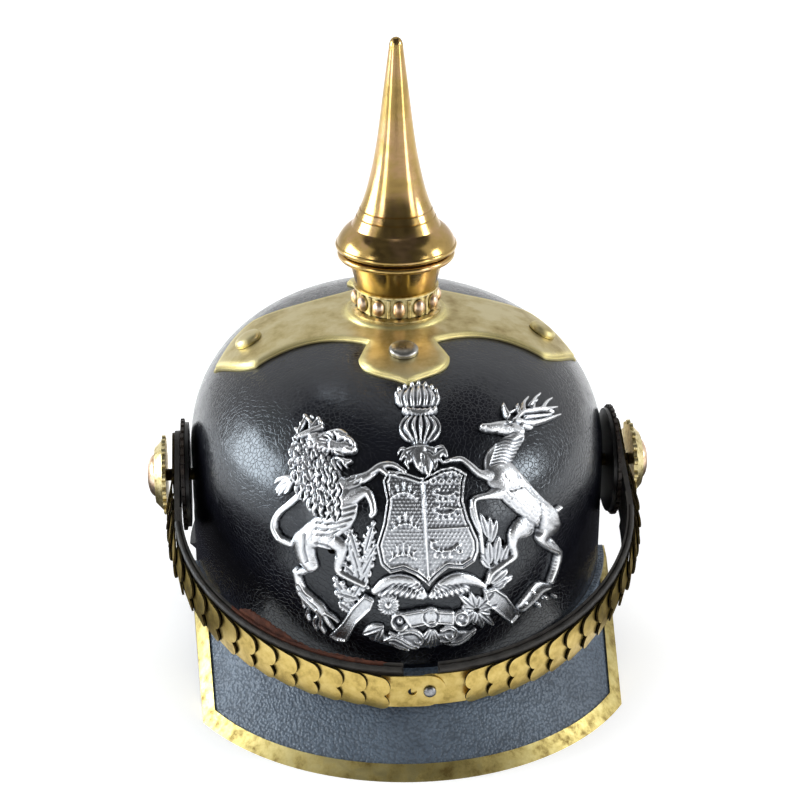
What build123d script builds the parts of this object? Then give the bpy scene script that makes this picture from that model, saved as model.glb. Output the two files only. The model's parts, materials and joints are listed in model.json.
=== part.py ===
from build123d import *
import os
from math import asin, atan2, cos, degrees, radians, sin, sqrt, tan

os.makedirs("parts", exist_ok=True)

# Pickelhaube in millimetres, +Z up, its front towards -Y.
# The origin is on the surface that the visors rest on, under the spike's axis.

# General
overrun = 5.0  # how far a cut runs past what it cuts
seat_gap = 0.1  # between curved pieces that are fastened together
running_gap = 0.08  # radial clearance of a pin in its hole

# Leather skull
skull_half_width = 91.5
skull_half_length = 112.0
skull_top = 143.0
skull_edge = 28.0
equator = 80.0  # height where the walls start to curve in
leather = 3.0
crown_rise_share = 0.2
crown_flat_share = 1.0
vent_radius = 9.0

# Front visor and its metal trim
junction = 32.0  # height where the visors leave the skull
visor_reach = 146.0  # from the spike's axis to the edge of either visor
visor_leather = 2.6  # thickness, measured level
visor_arc_radius = 104.7
visor_corner_half = 88.5
visor_root_half = 93.0
visor_root_back = 15.0
visor_spread = 66.0  # degrees
trim_sheet = 0.8
trim_width = 5.0

# Rear visor
rear_corner_half = 92.0
rear_corner_back = 50.0

# Brass spine down the back
spine_sheet = 1.2
spine_width = 8.0
rivet_radius = 2.6
rivet_height = 1.3
rivet_shank = 1.1
upper_rivet_height = 52.0
lower_rivet_height = 16.0

# Cross-shaped base of the spike
cross_sheet = 1.6
cross_bevel = 0.9
cross_front = 62.5
front_shoulder_half = 19.0
front_shoulder_at = 43.0
notch_half = 14.6
notch_at = 31.0
side_waist_at = 33.0
side_waist_half = 23.0
side_shoulder_at = 62.0
side_shoulder_half = 25.0
cross_side = 80.0
hub_radius = 21.5
hub_rise = 0.6

# Domed studs of the cross, with their nuts
stud_radius = 6.2
stud_height = 3.0
stud_shank = 1.6
front_stud_at = 40.7
side_stud_at = 63.5
nut_radius = 4.0
nut_thickness = 2.2
nut_gap = 0.3  # the nuts are flat and the skull is curved

# Ring of pearls
ring_height = 11.2
ring_foot = 19.6
ring_waist = 16.9
ring_lip = 18.4
ring_flange = 1.5
pearl_count = 12
pearl_half_width = 2.8
pearl_half_height = 3.7
bar_radius = 0.8

# Conical neck under the spike
core_radius = 15.6
core_bore = 11.0
cone_foot = 17.2
cone_top = 20.8
cone_height = 12.8
bead_radius = 25.3
bead_height = 3.2
socket_depth = 14.0

# Leather washer and screw-in spike
washer_radius = 22.5
washer_sheet = 1.0
spike_height = 91.3
spike_rim = 26.1
spike_stud_radius = 6.0
spike_stud_length = 12.0
groove_radius = 0.5
flare_shares = [(0.730, 0.112), (0.636, 0.166), (0.533, 0.239), (0.418, 0.359), (0.320, 0.504),
                (0.238, 0.679), (0.165, 0.843), (0.115, 0.953)]
groove_shares = [(0.648, 0.160), (0.590, 0.195)]
tip_share = (0.105, 1.0)
lip_shares = [(0.955, 0.0), (1.0, 0.014), (0.975, 0.030)]
bell_share = (0.893, 0.072)

# Relief plate on the front, drawn on a plane that leans back
plate_lean = 27.0  # degrees
plate_half_width = 61.0
plate_height = 102.0
plate_foot = -10.5
plate_near = 90.0
plate_far = 165.0
figure_relief = 3.6
shield_relief = 2.6
crest_relief = 4.2
scroll_relief = 1.8
tail_width = 2.4
plate_bolt_radius = 1.8
plate_bolt_half = 34.0
plate_bolt_height = 84.0

# Side posts with rosettes and cockades
post_y = -17.0
post_z = 76.0
post_radius = 2.6
rosette_stand = 10.5  # from the skull's side to the rosette's back
rosette_back = skull_half_width + rosette_stand
rosette_radius = 15.6
rosette_height = 8.4
rosette_edge = 1.6
rosette_ring = 12.0
rosette_boss = 9.4
petal_count = 16
petal_radius = 1.8
cockade_radius = 24.5
cockade_sheet = 1.5
cockade_ridges = 36
ridge_radius = 1.2
backing_radius = 23.0
disc_gap = 0.3

# Chinscales
strap_drop = 58.98783  # how far the loop would hang by the visor's reach
strap_slope = degrees(atan2(strap_drop, visor_reach))
strap_clear = 4.5  # between the skull and the strap's inner face
strap_side = skull_half_width + strap_clear
strap_front = skull_half_length + strap_clear
strap_straight = 30.0
strap_tail = 22.0
strap_leather = 2.2
strap_post_width = 23.0
strap_front_width = 17.0
strap_lean = 15.0  # degrees, how far the front of the loop leans back
strap_cut = 7.0
lining_sheet = 0.8
lining_rise = 1.2
scale_count = 16
scale_sheet = 0.8
scale_crown = 1.2
scale_length_share = 1.5  # of the distance between neighbours
scale_edge = 0.7  # how far the leather shows past the scales
scale_notch_share = 0.6
scale_root_gap = 0.15
scale_lift = 2.1
last_scale_lift = 3.3
first_scale_at = 32.0  # from the tail of the strap
lug_end = 8.5  # past the post
lug_lift = 0.3
left_scales_stop = 12.0
right_scales_stop = 17.0
end_sheet = 0.6
end_width = 15.5
left_end_from = 16.0
left_end_to = 10.0
right_end_from = 4.0
right_end_to = 22.0
button_at = 3.5
button_radius = 2.6
button_height = 1.4
button_shank = 1.5
hole_gap = 0.3  # between pieces that hang on each other

# Leather liner
liner_sheet = 1.6
liner_edge = 29.0
liner_fold = 60.0  # height where the fingers leave the wall
liner_crown = 112.0
liner_mouth = 20.0
liner_gap = 0.2
finger_fold = 84.0
finger_shares = [(0.87, finger_fold), (0.50, liner_crown)]
finger_count = 10
finger_slot = 4.0

# Derived sizes
trim_slope = atan2(junction, visor_reach - skull_half_length)
trim_run = trim_sheet / sin(trim_slope)
rear_step = skull_half_length + visor_leather
spine_run = (spine_sheet + seat_gap) / sin(trim_slope)
hub_top = skull_top + cross_sheet + hub_rise
neck_foot = hub_top + ring_height
neck_top = neck_foot + cone_height + bead_height
spike_foot = neck_top + washer_sheet
lining_start = cockade_radius + overrun


def crown(grow):
    """The skull's side outline above its walls, larger by grow, from the wall to the axis."""
    reach = skull_half_length + grow
    top = skull_top + grow
    rise = equator + crown_rise_share * (top - equator)
    return Bezier((reach, equator), (reach, rise), (crown_flat_share * reach, top), (0, top))


def dome(grow, floor):
    """A solid of the skull's form, larger by grow all round and cut level at floor."""
    reach = skull_half_length + grow
    with BuildPart() as form:
        with BuildSketch(Plane.XZ):
            with BuildLine():
                arch = crown(grow)
                Polyline(arch @ 1, (0, floor), (reach, floor), arch @ 0)
            make_face()
        revolve(axis=Axis.Z)
        scale(by=((skull_half_width + grow) / reach, 1, 1))
    return form.part


skull_form = dome(0, skull_edge)
skull_cover = dome(seat_gap, skull_edge - overrun)


def on_skull(start, direction):
    """Plane on the skull's outer face where a line from start first meets it, facing out."""
    line = Axis(start, direction)
    hits = skull_form.find_intersection_points(line)
    point, normal = min(hits, key=lambda hit: (hit[0] - Vector(*start)).length)
    facing = normal if normal.dot(Vector(*direction)) < 0 else normal * -1
    return Plane(origin=point, z_dir=facing)


# Places of the fasteners on the skull
sky = skull_top + overrun
stud_places = [
    on_skull((x, y, sky), (0, 0, -1))
    for x, y in [(0, -front_stud_at), (0, front_stud_at), (side_stud_at, 0), (-side_stud_at, 0)]
]
bolt_places = [
    on_skull((side * plate_bolt_half, -visor_reach, plate_bolt_height), (0, 1, 0)) for side in (-1, 1)
]
post_places = [
    Plane(origin=(side * skull_half_width, post_y, post_z), x_dir=(0, 1, 0), z_dir=(side, 0, 0))
    for side in (-1, 1)
]
left_post, right_post = post_places
upper_rivet = Plane(origin=(0, skull_half_length + seat_gap, upper_rivet_height), z_dir=(0, 1, 0))

# Skull
with BuildPart() as skull_shell:
    add(skull_form)
    add(dome(-leather, skull_edge - overrun), mode=Mode.SUBTRACT)
    with Locations((0, 0, skull_top)):
        Cylinder(vent_radius, 2 * leather + overrun, mode=Mode.SUBTRACT)
    with Locations(*stud_places):
        Cylinder(stud_shank + running_gap, 3 * leather, mode=Mode.SUBTRACT)
    with Locations(*bolt_places):
        Cylinder(plate_bolt_radius + running_gap, 3 * leather, mode=Mode.SUBTRACT)
    with Locations(*post_places):
        Cylinder(post_radius + running_gap, 4 * leather, mode=Mode.SUBTRACT)
    with Locations(upper_rivet):
        Cylinder(rivet_shank + running_gap, 3 * leather, mode=Mode.SUBTRACT)
skull_shell.part.label = "skull_shell"
export_step(skull_shell.part, "parts/skull_shell.step")


# Visors
def root_curve(grow, start, size):
    """Part of the skull's plan outline, larger by grow, from an angle in degrees."""
    return EllipticalCenterArc(
        (0, 0), skull_half_width + grow, skull_half_length + grow, start_angle=start, arc_size=size
    )


def sheet_face(outer, inner):
    Line(outer @ 0, inner @ 0)
    Line(outer @ 1, inner @ 1)


visor_arc_y = visor_arc_radius - visor_reach


def front_sheet(grow):
    """The front visor's sheet before its outline is cut, thicker by grow on both faces."""
    ends = degrees(asin(visor_root_back / 2 / skull_half_length))
    level = trim_run * grow / trim_sheet
    lower = visor_arc_radius - trim_run
    with BuildPart() as sheet:
        with BuildSketch(Plane.XY.offset(junction)):
            with BuildLine():
                outer = root_curve(visor_leather + level, 180 + ends, 180 - 2 * ends)
                inner = root_curve(seat_gap - level, 180 + ends, 180 - 2 * ends)
                sheet_face(outer, inner)
            make_face()
        with BuildSketch(Plane.XY):
            with BuildLine():
                centre = (0, visor_arc_y)
                start = 270 - visor_spread
                outer = CenterArc(centre, lower + level, start, 2 * visor_spread)
                inner = CenterArc(centre, lower - visor_leather - level, start, 2 * visor_spread)
                sheet_face(outer, inner)
            make_face()
        loft(ruled=True)
    return sheet.part


def front_outline(inset):
    """Prism on the front visor's plan outline, smaller by inset."""
    corner_y = visor_arc_y - sqrt(visor_arc_radius**2 - visor_corner_half**2)
    with BuildPart() as prism:
        with BuildSketch(Plane.XY.offset(-overrun)):
            with BuildLine():
                left = (-visor_corner_half, corner_y)
                right = (visor_corner_half, corner_y)
                left_root = (-visor_root_half - trim_sheet, -visor_root_back)
                right_root = (visor_root_half + trim_sheet, -visor_root_back)
                ThreePointArc(left, (0, -visor_reach), right)
                Polyline(right, right_root, left_root, left)
            make_face()
            if inset > 0:
                offset(amount=-inset, kind=Kind.INTERSECTION)
        extrude(amount=junction + 2 * overrun)
    return prism.part


with BuildPart() as front_visor:
    add(front_sheet(0))
    add(front_outline(trim_sheet + seat_gap), mode=Mode.INTERSECT)
    split(bisect_by=Plane.XY.offset(trim_sheet + seat_gap), keep=Keep.TOP)
front_visor.part.label = "front_visor"
export_step(front_visor.part, "parts/front_visor.step")

with BuildPart() as front_visor_trim:
    add(front_sheet(trim_sheet))
    add(front_outline(0), mode=Mode.INTERSECT)
    add(front_outline(trim_width), mode=Mode.SUBTRACT)
    add(front_visor.part, mode=Mode.SUBTRACT)
    add(dome(seat_gap, -overrun), mode=Mode.SUBTRACT)
    split(bisect_by=Plane.XY.offset(junction - trim_sheet), keep=Keep.BOTTOM)
front_visor_trim.part.label = "front_visor_trim"
export_step(front_visor_trim.part, "parts/front_visor_trim.step")

rear_reach = visor_reach - spine_run
rear_slope = atan2(junction, rear_reach - rear_step)
lower_rivet_y = rear_step + (rear_reach - rear_step) * (1 - lower_rivet_height / junction)
lower_rivet = Plane(
    origin=(0, lower_rivet_y, lower_rivet_height), z_dir=(0, sin(rear_slope), cos(rear_slope))
)
with BuildPart() as rear_visor:
    with BuildSketch(Plane.XY.offset(junction)):
        with BuildLine():
            outer = root_curve(visor_leather, 0, 180)
            inner = root_curve(2 * seat_gap, 0, 180)
            sheet_face(outer, inner)
        make_face()
    with BuildSketch(Plane.XY):
        with BuildLine():
            outer = ThreePointArc(
                (rear_corner_half, rear_corner_back), (0, rear_reach), (-rear_corner_half, rear_corner_back)
            )
            inner = ThreePointArc(
                (rear_corner_half - visor_leather, rear_corner_back),
                (0, rear_reach - visor_leather),
                (visor_leather - rear_corner_half, rear_corner_back),
            )
            sheet_face(outer, inner)
        make_face()
    loft(ruled=True)
    with Locations(lower_rivet):
        Cylinder(rivet_shank + running_gap, 3 * leather, mode=Mode.SUBTRACT)
rear_visor.part.label = "rear_visor"
export_step(rear_visor.part, "parts/rear_visor.step")

# Cross base
def cross_layer(inset, top):
    """Prism on the cross's plan outline, smaller by inset, under a skull form larger by top."""
    tip = (0, inset - cross_front)
    shoulder = (front_shoulder_half - inset, -front_shoulder_at)
    notch = (notch_half - inset, inset - notch_at)
    waist = (side_waist_at, inset - side_waist_half)
    side_shoulder = (side_shoulder_at, inset - side_shoulder_half)
    side_tip = (cross_side - inset, 0)
    with BuildPart() as layer:
        with BuildSketch(Plane.XY.offset(equator + overrun)):
            with BuildLine():
                Spline(tip, shoulder, tangents=[(cross_front - front_shoulder_at, front_shoulder_half), (0, 1)])
                Line(shoulder, notch)
                Spline(
                    notch,
                    waist,
                    side_shoulder,
                    tangents=[(side_waist_half, notch_half), (side_shoulder_at, -notch_half)],
                )
                Spline(
                    side_shoulder,
                    side_tip,
                    tangents=[(side_shoulder_half, notch_half), (notch_half, side_shoulder_half)],
                )
                mirror(about=Plane.YZ)
                mirror(about=Plane.XZ)
            make_face()
        extrude(amount=hub_top)
        add(dome(top, 0), mode=Mode.INTERSECT)
    return layer.part


with BuildPart() as cross_base:
    add(cross_layer(0, cross_sheet / 2))
    add(cross_layer(cross_bevel, cross_sheet))
    with Locations((0, 0, skull_top)):
        Cylinder(hub_radius, hub_top - skull_top, align=(Align.CENTER, Align.CENTER, Align.MIN))
    add(skull_cover, mode=Mode.SUBTRACT)
    with Locations((0, 0, skull_top)):
        Cylinder(vent_radius, 2 * leather + overrun, mode=Mode.SUBTRACT)
    for place in stud_places:
        with Locations(place):
            Cylinder(stud_shank + running_gap, 3 * leather, mode=Mode.SUBTRACT)
cross_base.part.label = "cross_base"
export_step(cross_base.part, "parts/cross_base.step")

# Domed studs and their nuts
with BuildPart() as stud:
    with BuildSketch(Plane.XZ):
        with BuildLine():
            head = Bezier((stud_radius, stud_height / 3), (stud_radius, stud_height), (0, stud_height))
            Polyline(
                head @ 1,
                (0, -cross_sheet - leather - nut_thickness - stud_shank),
                (stud_shank, -cross_sheet - leather - nut_thickness - stud_shank),
                (stud_shank, 0),
                (stud_radius, 0),
                head @ 0,
            )
        make_face()
    revolve(axis=Axis.Z)

with BuildPart() as nut:
    with BuildSketch():
        RegularPolygon(nut_radius, 6)
        Circle(stud_shank + running_gap, mode=Mode.SUBTRACT)
    extrude(amount=-nut_thickness)

with BuildPart() as cross_studs:
    with Locations(*[place.offset(cross_sheet + seat_gap) for place in stud_places]):
        add(stud.part)
cross_studs.part.label = "cross_studs"
export_step(cross_studs.part, "parts/cross_studs.step")

with BuildPart() as cross_nuts:
    with Locations(*[place.offset(-leather - nut_gap) for place in stud_places]):
        add(nut.part)
cross_nuts.part.label = "cross_nuts"
export_step(cross_nuts.part, "parts/cross_nuts.step")

# Pearl ring
with BuildPart() as pearl:
    with BuildSketch(Plane.XZ):
        Ellipse(pearl_half_width, pearl_half_height)
        with Locations((-pearl_half_width, 0)):
            Rectangle(2 * pearl_half_width, 2 * pearl_half_height, mode=Mode.SUBTRACT)
    revolve(axis=Axis.Z)

with BuildPart() as pearl_ring:
    with BuildSketch(Plane.XZ):
        with BuildLine():
            shoulder = hub_top + ring_flange
            brow = neck_foot - ring_flange
            Polyline(
                (ring_waist, shoulder),
                (ring_foot, hub_top + ring_flange / 2),
                (ring_foot, hub_top),
                (core_radius + seat_gap, hub_top),
                (core_radius + seat_gap, neck_foot),
                (ring_lip, neck_foot),
                (ring_lip, brow + ring_flange / 2),
                (ring_waist, brow),
                (ring_waist, shoulder),
            )
        make_face()
    revolve(axis=Axis.Z)
    middle = Plane.XY.offset(hub_top + ring_height / 2)
    with Locations(middle):
        with PolarLocations(ring_waist, pearl_count):
            add(pearl.part)
        with PolarLocations(ring_waist, pearl_count, start_angle=180 / pearl_count):
            Cylinder(bar_radius, brow - shoulder)
        Cylinder(core_radius + seat_gap, ring_height, mode=Mode.SUBTRACT)
pearl_ring.part.label = "pearl_ring"
export_step(pearl_ring.part, "parts/pearl_ring.step")

# Neck
with BuildPart() as spike_neck:
    with BuildSketch(Plane.XZ):
        with BuildLine():
            bead_foot = neck_top - bead_height
            bead = ThreePointArc(
                (bead_radius - bead_height / 2, bead_foot),
                (bead_radius, neck_top - bead_height / 2),
                (bead_radius - bead_height / 2, neck_top),
            )
            Polyline(
                bead @ 0,
                (cone_top, bead_foot),
                (cone_foot, neck_foot),
                (core_radius, neck_foot),
                (core_radius, hub_top),
                (core_bore, hub_top),
                (core_bore, neck_top - socket_depth),
                (spike_stud_radius + running_gap, neck_top - socket_depth),
                (spike_stud_radius + running_gap, neck_top),
                bead @ 1,
            )
        make_face()
    revolve(axis=Axis.Z)
spike_neck.part.label = "spike_neck"
export_step(spike_neck.part, "parts/spike_neck.step")

# Washer
with BuildPart() as spike_washer:
    with BuildSketch(Plane.XY.offset(neck_top)):
        Circle(washer_radius)
        Circle(spike_stud_radius + running_gap, mode=Mode.SUBTRACT)
    extrude(amount=washer_sheet)
spike_washer.part.label = "spike_washer"
export_step(spike_washer.part, "parts/spike_washer.step")


def on_spike(share):
    return (share[0] * spike_rim, spike_foot + share[1] * spike_height)


# Spike
with BuildPart() as spike:
    with BuildSketch(Plane.XZ):
        with BuildLine():
            lip = ThreePointArc(*[on_spike(share) for share in lip_shares])
            bell = ThreePointArc(lip @ 1, on_spike(bell_share), on_spike(flare_shares[0]))
            flare = Spline(*[on_spike(share) for share in flare_shares])
            tip = Bezier(flare @ 1, on_spike(tip_share), on_spike((0, 1)))
            Polyline(
                tip @ 1,
                (0, spike_foot - spike_stud_length),
                (spike_stud_radius, spike_foot - spike_stud_length),
                (spike_stud_radius, spike_foot),
                lip @ 0,
            )
        make_face()
        with Locations(*[on_spike(share) for share in groove_shares]):
            RegularPolygon(groove_radius, 4, mode=Mode.SUBTRACT)
    revolve(axis=Axis.Z)
spike.part.label = "spike"
export_step(spike.part, "parts/spike.step")

# Spine down the back, with its rivets
with BuildPart() as rear_spine:
    with BuildSketch(Plane.YZ):
        with BuildLine():
            outer_gap = seat_gap + spine_sheet
            inner_crown = crown(seat_gap)
            outer_crown = crown(outer_gap)
            Polyline(
                inner_crown @ 0,
                (skull_half_length + seat_gap, junction + seat_gap),
                (rear_step + seat_gap, junction + seat_gap),
                (rear_reach + seat_gap / sin(trim_slope), 0),
                (visor_reach, 0),
                (rear_step + spine_run, junction + spine_sheet / 2),
                (rear_step + spine_run - spine_sheet / 2, junction + outer_gap),
                (skull_half_length + outer_gap + spine_sheet, junction + outer_gap),
                (skull_half_length + outer_gap, junction + outer_gap + spine_sheet),
                outer_crown @ 0,
            )
            Line(inner_crown @ 1, outer_crown @ 1)
        make_face()
    extrude(amount=spine_width / 2, both=True)
    split(bisect_by=Plane.XZ.offset(-cross_front - seat_gap), keep=Keep.BOTTOM)
    with Locations(upper_rivet, lower_rivet):
        Cylinder(rivet_shank + running_gap, 3 * leather, mode=Mode.SUBTRACT)
rear_spine.part.label = "rear_spine"
export_step(rear_spine.part, "parts/rear_spine.step")

with BuildPart() as rivet:
    with BuildSketch(Plane.XZ):
        with BuildLine():
            head = Bezier((rivet_radius, 0), (rivet_radius, rivet_height), (0, rivet_height))
            Polyline(head @ 1, (0, -leather - spine_sheet), (rivet_shank, -leather - spine_sheet),
                     (rivet_shank, 0), head @ 0)
        make_face()
    revolve(axis=Axis.Z)

with BuildPart() as spine_rivets:
    lower_seat = spine_run * sin(rear_slope) + nut_gap
    with Locations(upper_rivet.offset(spine_sheet + seat_gap), lower_rivet.offset(lower_seat)):
        add(rivet.part)
spine_rivets.part.label = "spine_rivets"
export_step(spine_rivets.part, "parts/spine_rivets.step")

# Relief plate: outlines as shares of the plate's half width and of its height
lion_shares = [
    (-0.785, 0.834), (-0.699, 0.885), (-0.603, 0.865), (-0.597, 0.834), (-0.515, 0.827), (-0.425, 0.800),
    (-0.378, 0.755), (-0.421, 0.724), (-0.492, 0.707), (-0.404, 0.659), (-0.297, 0.690), (-0.135, 0.697),
    (-0.092, 0.663), (-0.197, 0.656), (-0.257, 0.629), (-0.317, 0.601), (-0.268, 0.512), (-0.310, 0.492),
    (-0.364, 0.533), (-0.379, 0.560), (-0.420, 0.492), (-0.553, 0.424), (-0.511, 0.383), (-0.538, 0.342),
    (-0.577, 0.287), (-0.443, 0.249), (-0.354, 0.215), (-0.447, 0.201), (-0.604, 0.246), (-0.623, 0.294),
    (-0.691, 0.300), (-0.773, 0.287), (-0.784, 0.239), (-0.737, 0.177), (-0.640, 0.116), (-0.538, 0.095),
    (-0.563, 0.071), (-0.679, 0.068), (-0.772, 0.116), (-0.849, 0.191), (-0.856, 0.266), (-0.801, 0.294),
    (-0.848, 0.348), (-0.861, 0.396), (-0.718, 0.506), (-0.690, 0.560), (-0.742, 0.622), (-0.768, 0.704),
    (-0.768, 0.765), (-0.754, 0.800),
]
tail_shares = [
    (-0.840, 0.380), (-0.936, 0.396), (-0.964, 0.444), (-0.938, 0.499), (-0.863, 0.553), (-0.779, 0.588),
    (-0.751, 0.622), (-0.797, 0.648), (-0.879, 0.635), (-0.915, 0.591),
]
stag_shares = [
    (0.438, 0.834), (0.529, 0.866), (0.622, 0.875), (0.595, 0.926), (0.664, 0.885), (0.719, 0.923),
    (0.764, 0.970), (0.821, 0.969), (0.836, 0.936), (0.894, 0.942), (0.899, 0.899), (0.960, 0.885),
    (0.910, 0.868), (0.775, 0.847), (0.726, 0.813), (0.692, 0.759), (0.641, 0.711), (0.648, 0.659),
    (0.737, 0.629), (0.835, 0.560), (0.906, 0.523), (0.948, 0.536), (0.916, 0.502), (0.921, 0.471),
    (0.870, 0.417), (0.862, 0.386), (0.916, 0.348), (0.877, 0.280), (0.835, 0.222), (0.754, 0.191),
    (0.645, 0.133), (0.606, 0.150), (0.722, 0.218), (0.817, 0.246), (0.857, 0.307), (0.858, 0.342),
    (0.784, 0.389), (0.717, 0.410), (0.635, 0.400), (0.618, 0.342), (0.545, 0.297), (0.450, 0.266),
    (0.400, 0.225), (0.401, 0.259), (0.535, 0.314), (0.584, 0.348), (0.577, 0.396), (0.582, 0.444),
    (0.632, 0.485), (0.534, 0.553), (0.384, 0.547), (0.382, 0.465), (0.436, 0.362), (0.402, 0.376),
    (0.353, 0.465), (0.337, 0.560), (0.527, 0.598), (0.424, 0.608), (0.336, 0.649), (0.247, 0.687),
    (0.167, 0.694), (0.251, 0.724), (0.319, 0.711), (0.406, 0.663), (0.409, 0.690), (0.448, 0.738),
    (0.492, 0.779), (0.471, 0.800),
]
shield_shares = [
    (-0.205, 0.667), (-0.223, 0.556), (-0.276, 0.417), (-0.296, 0.349), (-0.254, 0.294), (-0.176, 0.274),
    (-0.114, 0.290), (0.034, 0.226), (0.154, 0.294), (0.234, 0.290), (0.317, 0.314), (0.368, 0.361),
    (0.377, 0.389), (0.333, 0.484), (0.302, 0.587), (0.322, 0.651), (0.246, 0.699), (0.143, 0.671),
    (0.019, 0.635), (-0.098, 0.675),
]
crest_shares = [
    (-0.124, 0.961), (-0.081, 0.988), (0.027, 1.0), (0.139, 0.988), (0.169, 0.953), (0.124, 0.901),
    (0.173, 0.853), (0.148, 0.798), (0.098, 0.762), (0.122, 0.734), (0.191, 0.754), (0.201, 0.714),
    (0.129, 0.667), (0.032, 0.627), (-0.059, 0.659), (-0.108, 0.707), (-0.118, 0.746), (-0.049, 0.762),
    (-0.086, 0.802), (-0.101, 0.849), (-0.063, 0.897),
]
scroll_shares = [
    (-0.640, 0.032), (-0.488, 0.087), (-0.386, 0.167), (-0.262, 0.206), (-0.130, 0.191), (0.028, 0.240),
    (0.192, 0.198), (0.367, 0.214), (0.472, 0.191), (0.660, 0.150), (0.594, 0.064), (0.365, 0.048),
    (0.173, 0.0), (0.012, -0.012), (-0.175, 0.0), (-0.400, 0.024), (-0.576, 0.0),
]
left_spray_shares = [
    (-0.348, 0.151), (-0.482, 0.143), (-0.585, 0.191), (-0.517, 0.270), (-0.474, 0.377), (-0.427, 0.445),
    (-0.250, 0.476), (-0.230, 0.397), (-0.250, 0.318), (-0.301, 0.218),
]
right_spray_shares = [
    (0.352, 0.191), (0.350, 0.270), (0.340, 0.365), (0.350, 0.484), (0.488, 0.500), (0.536, 0.437),
    (0.584, 0.377), (0.549, 0.298), (0.598, 0.246), (0.513, 0.198),
]
plate_plane = Plane(
    origin=(0, 0, 0),
    x_dir=(1, 0, 0),
    z_dir=(0, -cos(radians(plate_lean)), sin(radians(plate_lean))),
)


def on_plate(shares):
    return [(x * plate_half_width, plate_foot + y * plate_height) for x, y in shares]


def relief(outlines, height):
    """The outlines carried on to the skull and raised by height."""
    with BuildPart() as raised:
        with BuildSketch(plate_plane.offset(plate_near)):
            for shares in outlines:
                with BuildLine():
                    Polyline(*on_plate(shares), close=True)
                make_face()
        extrude(amount=plate_far - plate_near)
        add(dome(height, 0), mode=Mode.INTERSECT)
    return raised.part


with BuildPart() as tail:
    with BuildSketch(plate_plane.offset(plate_near)):
        with BuildLine():
            Polyline(*on_plate(tail_shares))
        trace(line_width=tail_width)
    extrude(amount=plate_far - plate_near)
    add(dome(scroll_relief, 0), mode=Mode.INTERSECT)

with BuildPart() as front_plate:
    add(relief([lion_shares, stag_shares], figure_relief))
    add(relief([shield_shares], shield_relief))
    add(relief([crest_shares], crest_relief))
    add(relief([scroll_shares, left_spray_shares, right_spray_shares], scroll_relief))
    add(tail.part)
    add(skull_cover, mode=Mode.SUBTRACT)
    with Locations(*[place.offset(scroll_relief) for place in bolt_places]):
        Cylinder(
            plate_bolt_radius,
            scroll_relief + leather + 2 * nut_thickness,
            align=(Align.CENTER, Align.CENTER, Align.MAX),
        )
front_plate.part.label = "front_plate"
export_step(front_plate.part, "parts/front_plate.step")

with BuildPart() as bolt_nut:
    with BuildSketch():
        RegularPolygon(nut_radius, 6)
        Circle(plate_bolt_radius + running_gap, mode=Mode.SUBTRACT)
    extrude(amount=-nut_thickness)

with BuildPart() as plate_nuts:
    with Locations(*[place.offset(-leather - nut_gap) for place in bolt_places]):
        add(bolt_nut.part)
plate_nuts.part.label = "plate_nuts"
export_step(plate_nuts.part, "parts/plate_nuts.step")

# Rosette with its threaded post, built along +Z with the skull's widest plane at zero
post_inner = 2 * leather + nut_thickness + stud_height / 3
back = rosette_back - skull_half_width
with BuildPart() as rosette:
    with BuildSketch(Plane.XZ):
        with BuildLine():
            edge_top = back + rosette_edge
            ring_top = back + rosette_height / 2
            boss = Bezier(
                (rosette_boss, ring_top),
                (rosette_boss, back + rosette_height),
                (0, back + rosette_height),
            )
            Polyline(
                boss @ 1,
                (0, -post_inner),
                (post_radius, -post_inner),
                (post_radius, back),
                (rosette_radius, back),
                (rosette_radius, edge_top),
                (rosette_ring, ring_top + rosette_edge / 2),
                boss @ 0,
            )
        make_face()
    revolve(axis=Axis.Z)
    with BuildSketch(Plane.XY.offset(back)):
        with PolarLocations(rosette_radius, petal_count):
            Circle(petal_radius)
        Circle(rosette_ring, mode=Mode.SUBTRACT)
    extrude(amount=rosette_edge)

with BuildPart() as post_nut:
    with BuildSketch(Plane.XY.offset(-2 * leather)):
        RegularPolygon(2 * post_radius, 6)
        Circle(post_radius + running_gap, mode=Mode.SUBTRACT)
    extrude(amount=-nut_thickness)

# Cockade: a thin disc with a ridged rim, and the plain disc behind it
with BuildPart() as cockade:
    with BuildSketch(Plane.XY.offset(disc_gap + cockade_sheet + disc_gap)):
        Circle(cockade_radius - ridge_radius)
        with PolarLocations(cockade_radius - ridge_radius, cockade_ridges):
            Rectangle(2 * ridge_radius, 2 * ridge_radius)
        Circle(post_radius + running_gap, mode=Mode.SUBTRACT)
    extrude(amount=cockade_sheet)

with BuildPart() as backing:
    with BuildSketch(Plane.XY.offset(disc_gap)):
        Circle(backing_radius)
        Circle(post_radius + running_gap, mode=Mode.SUBTRACT)
    extrude(amount=cockade_sheet)

for side_name, place in [("left", left_post), ("right", right_post)]:
    for name, form in [
        ("rosette", rosette),
        ("rosette_nut", post_nut),
        ("cockade", cockade),
        ("cockade_backing", backing),
    ]:
        with BuildPart() as fitting:
            with Locations(place):
                add(form.part)
        fitting.part.label = f"{name}_{side_name}"
        export_step(fitting.part, f"parts/{name}_{side_name}.step")

# Chinscales: the loop lies on a plane through both posts that slopes down to the front
slope = radians(strap_slope)
loop_plane = Plane(origin=(0, post_y, post_z), x_dir=(1, 0, 0), z_dir=(0, -sin(slope), cos(slope)))
side_plane = Plane(origin=(0, post_y, post_z), x_dir=(0, -cos(slope), -sin(slope)), z_dir=(1, 0, 0))
half_height = strap_post_width / 2 + lining_rise
strap_reach = strap_front + overrun


def loop_curves(level, lean):
    """Right half of the loop at a level above the strap's inner face: the straight and the bend."""
    side = strap_side + level
    front = strap_front + level + lean - strap_straight
    straight = Line((side, strap_tail), (side, -strap_straight))
    bend = EllipticalCenterArc((0, -strap_straight), side, front, start_angle=0, arc_size=-90)
    return straight, bend


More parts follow.
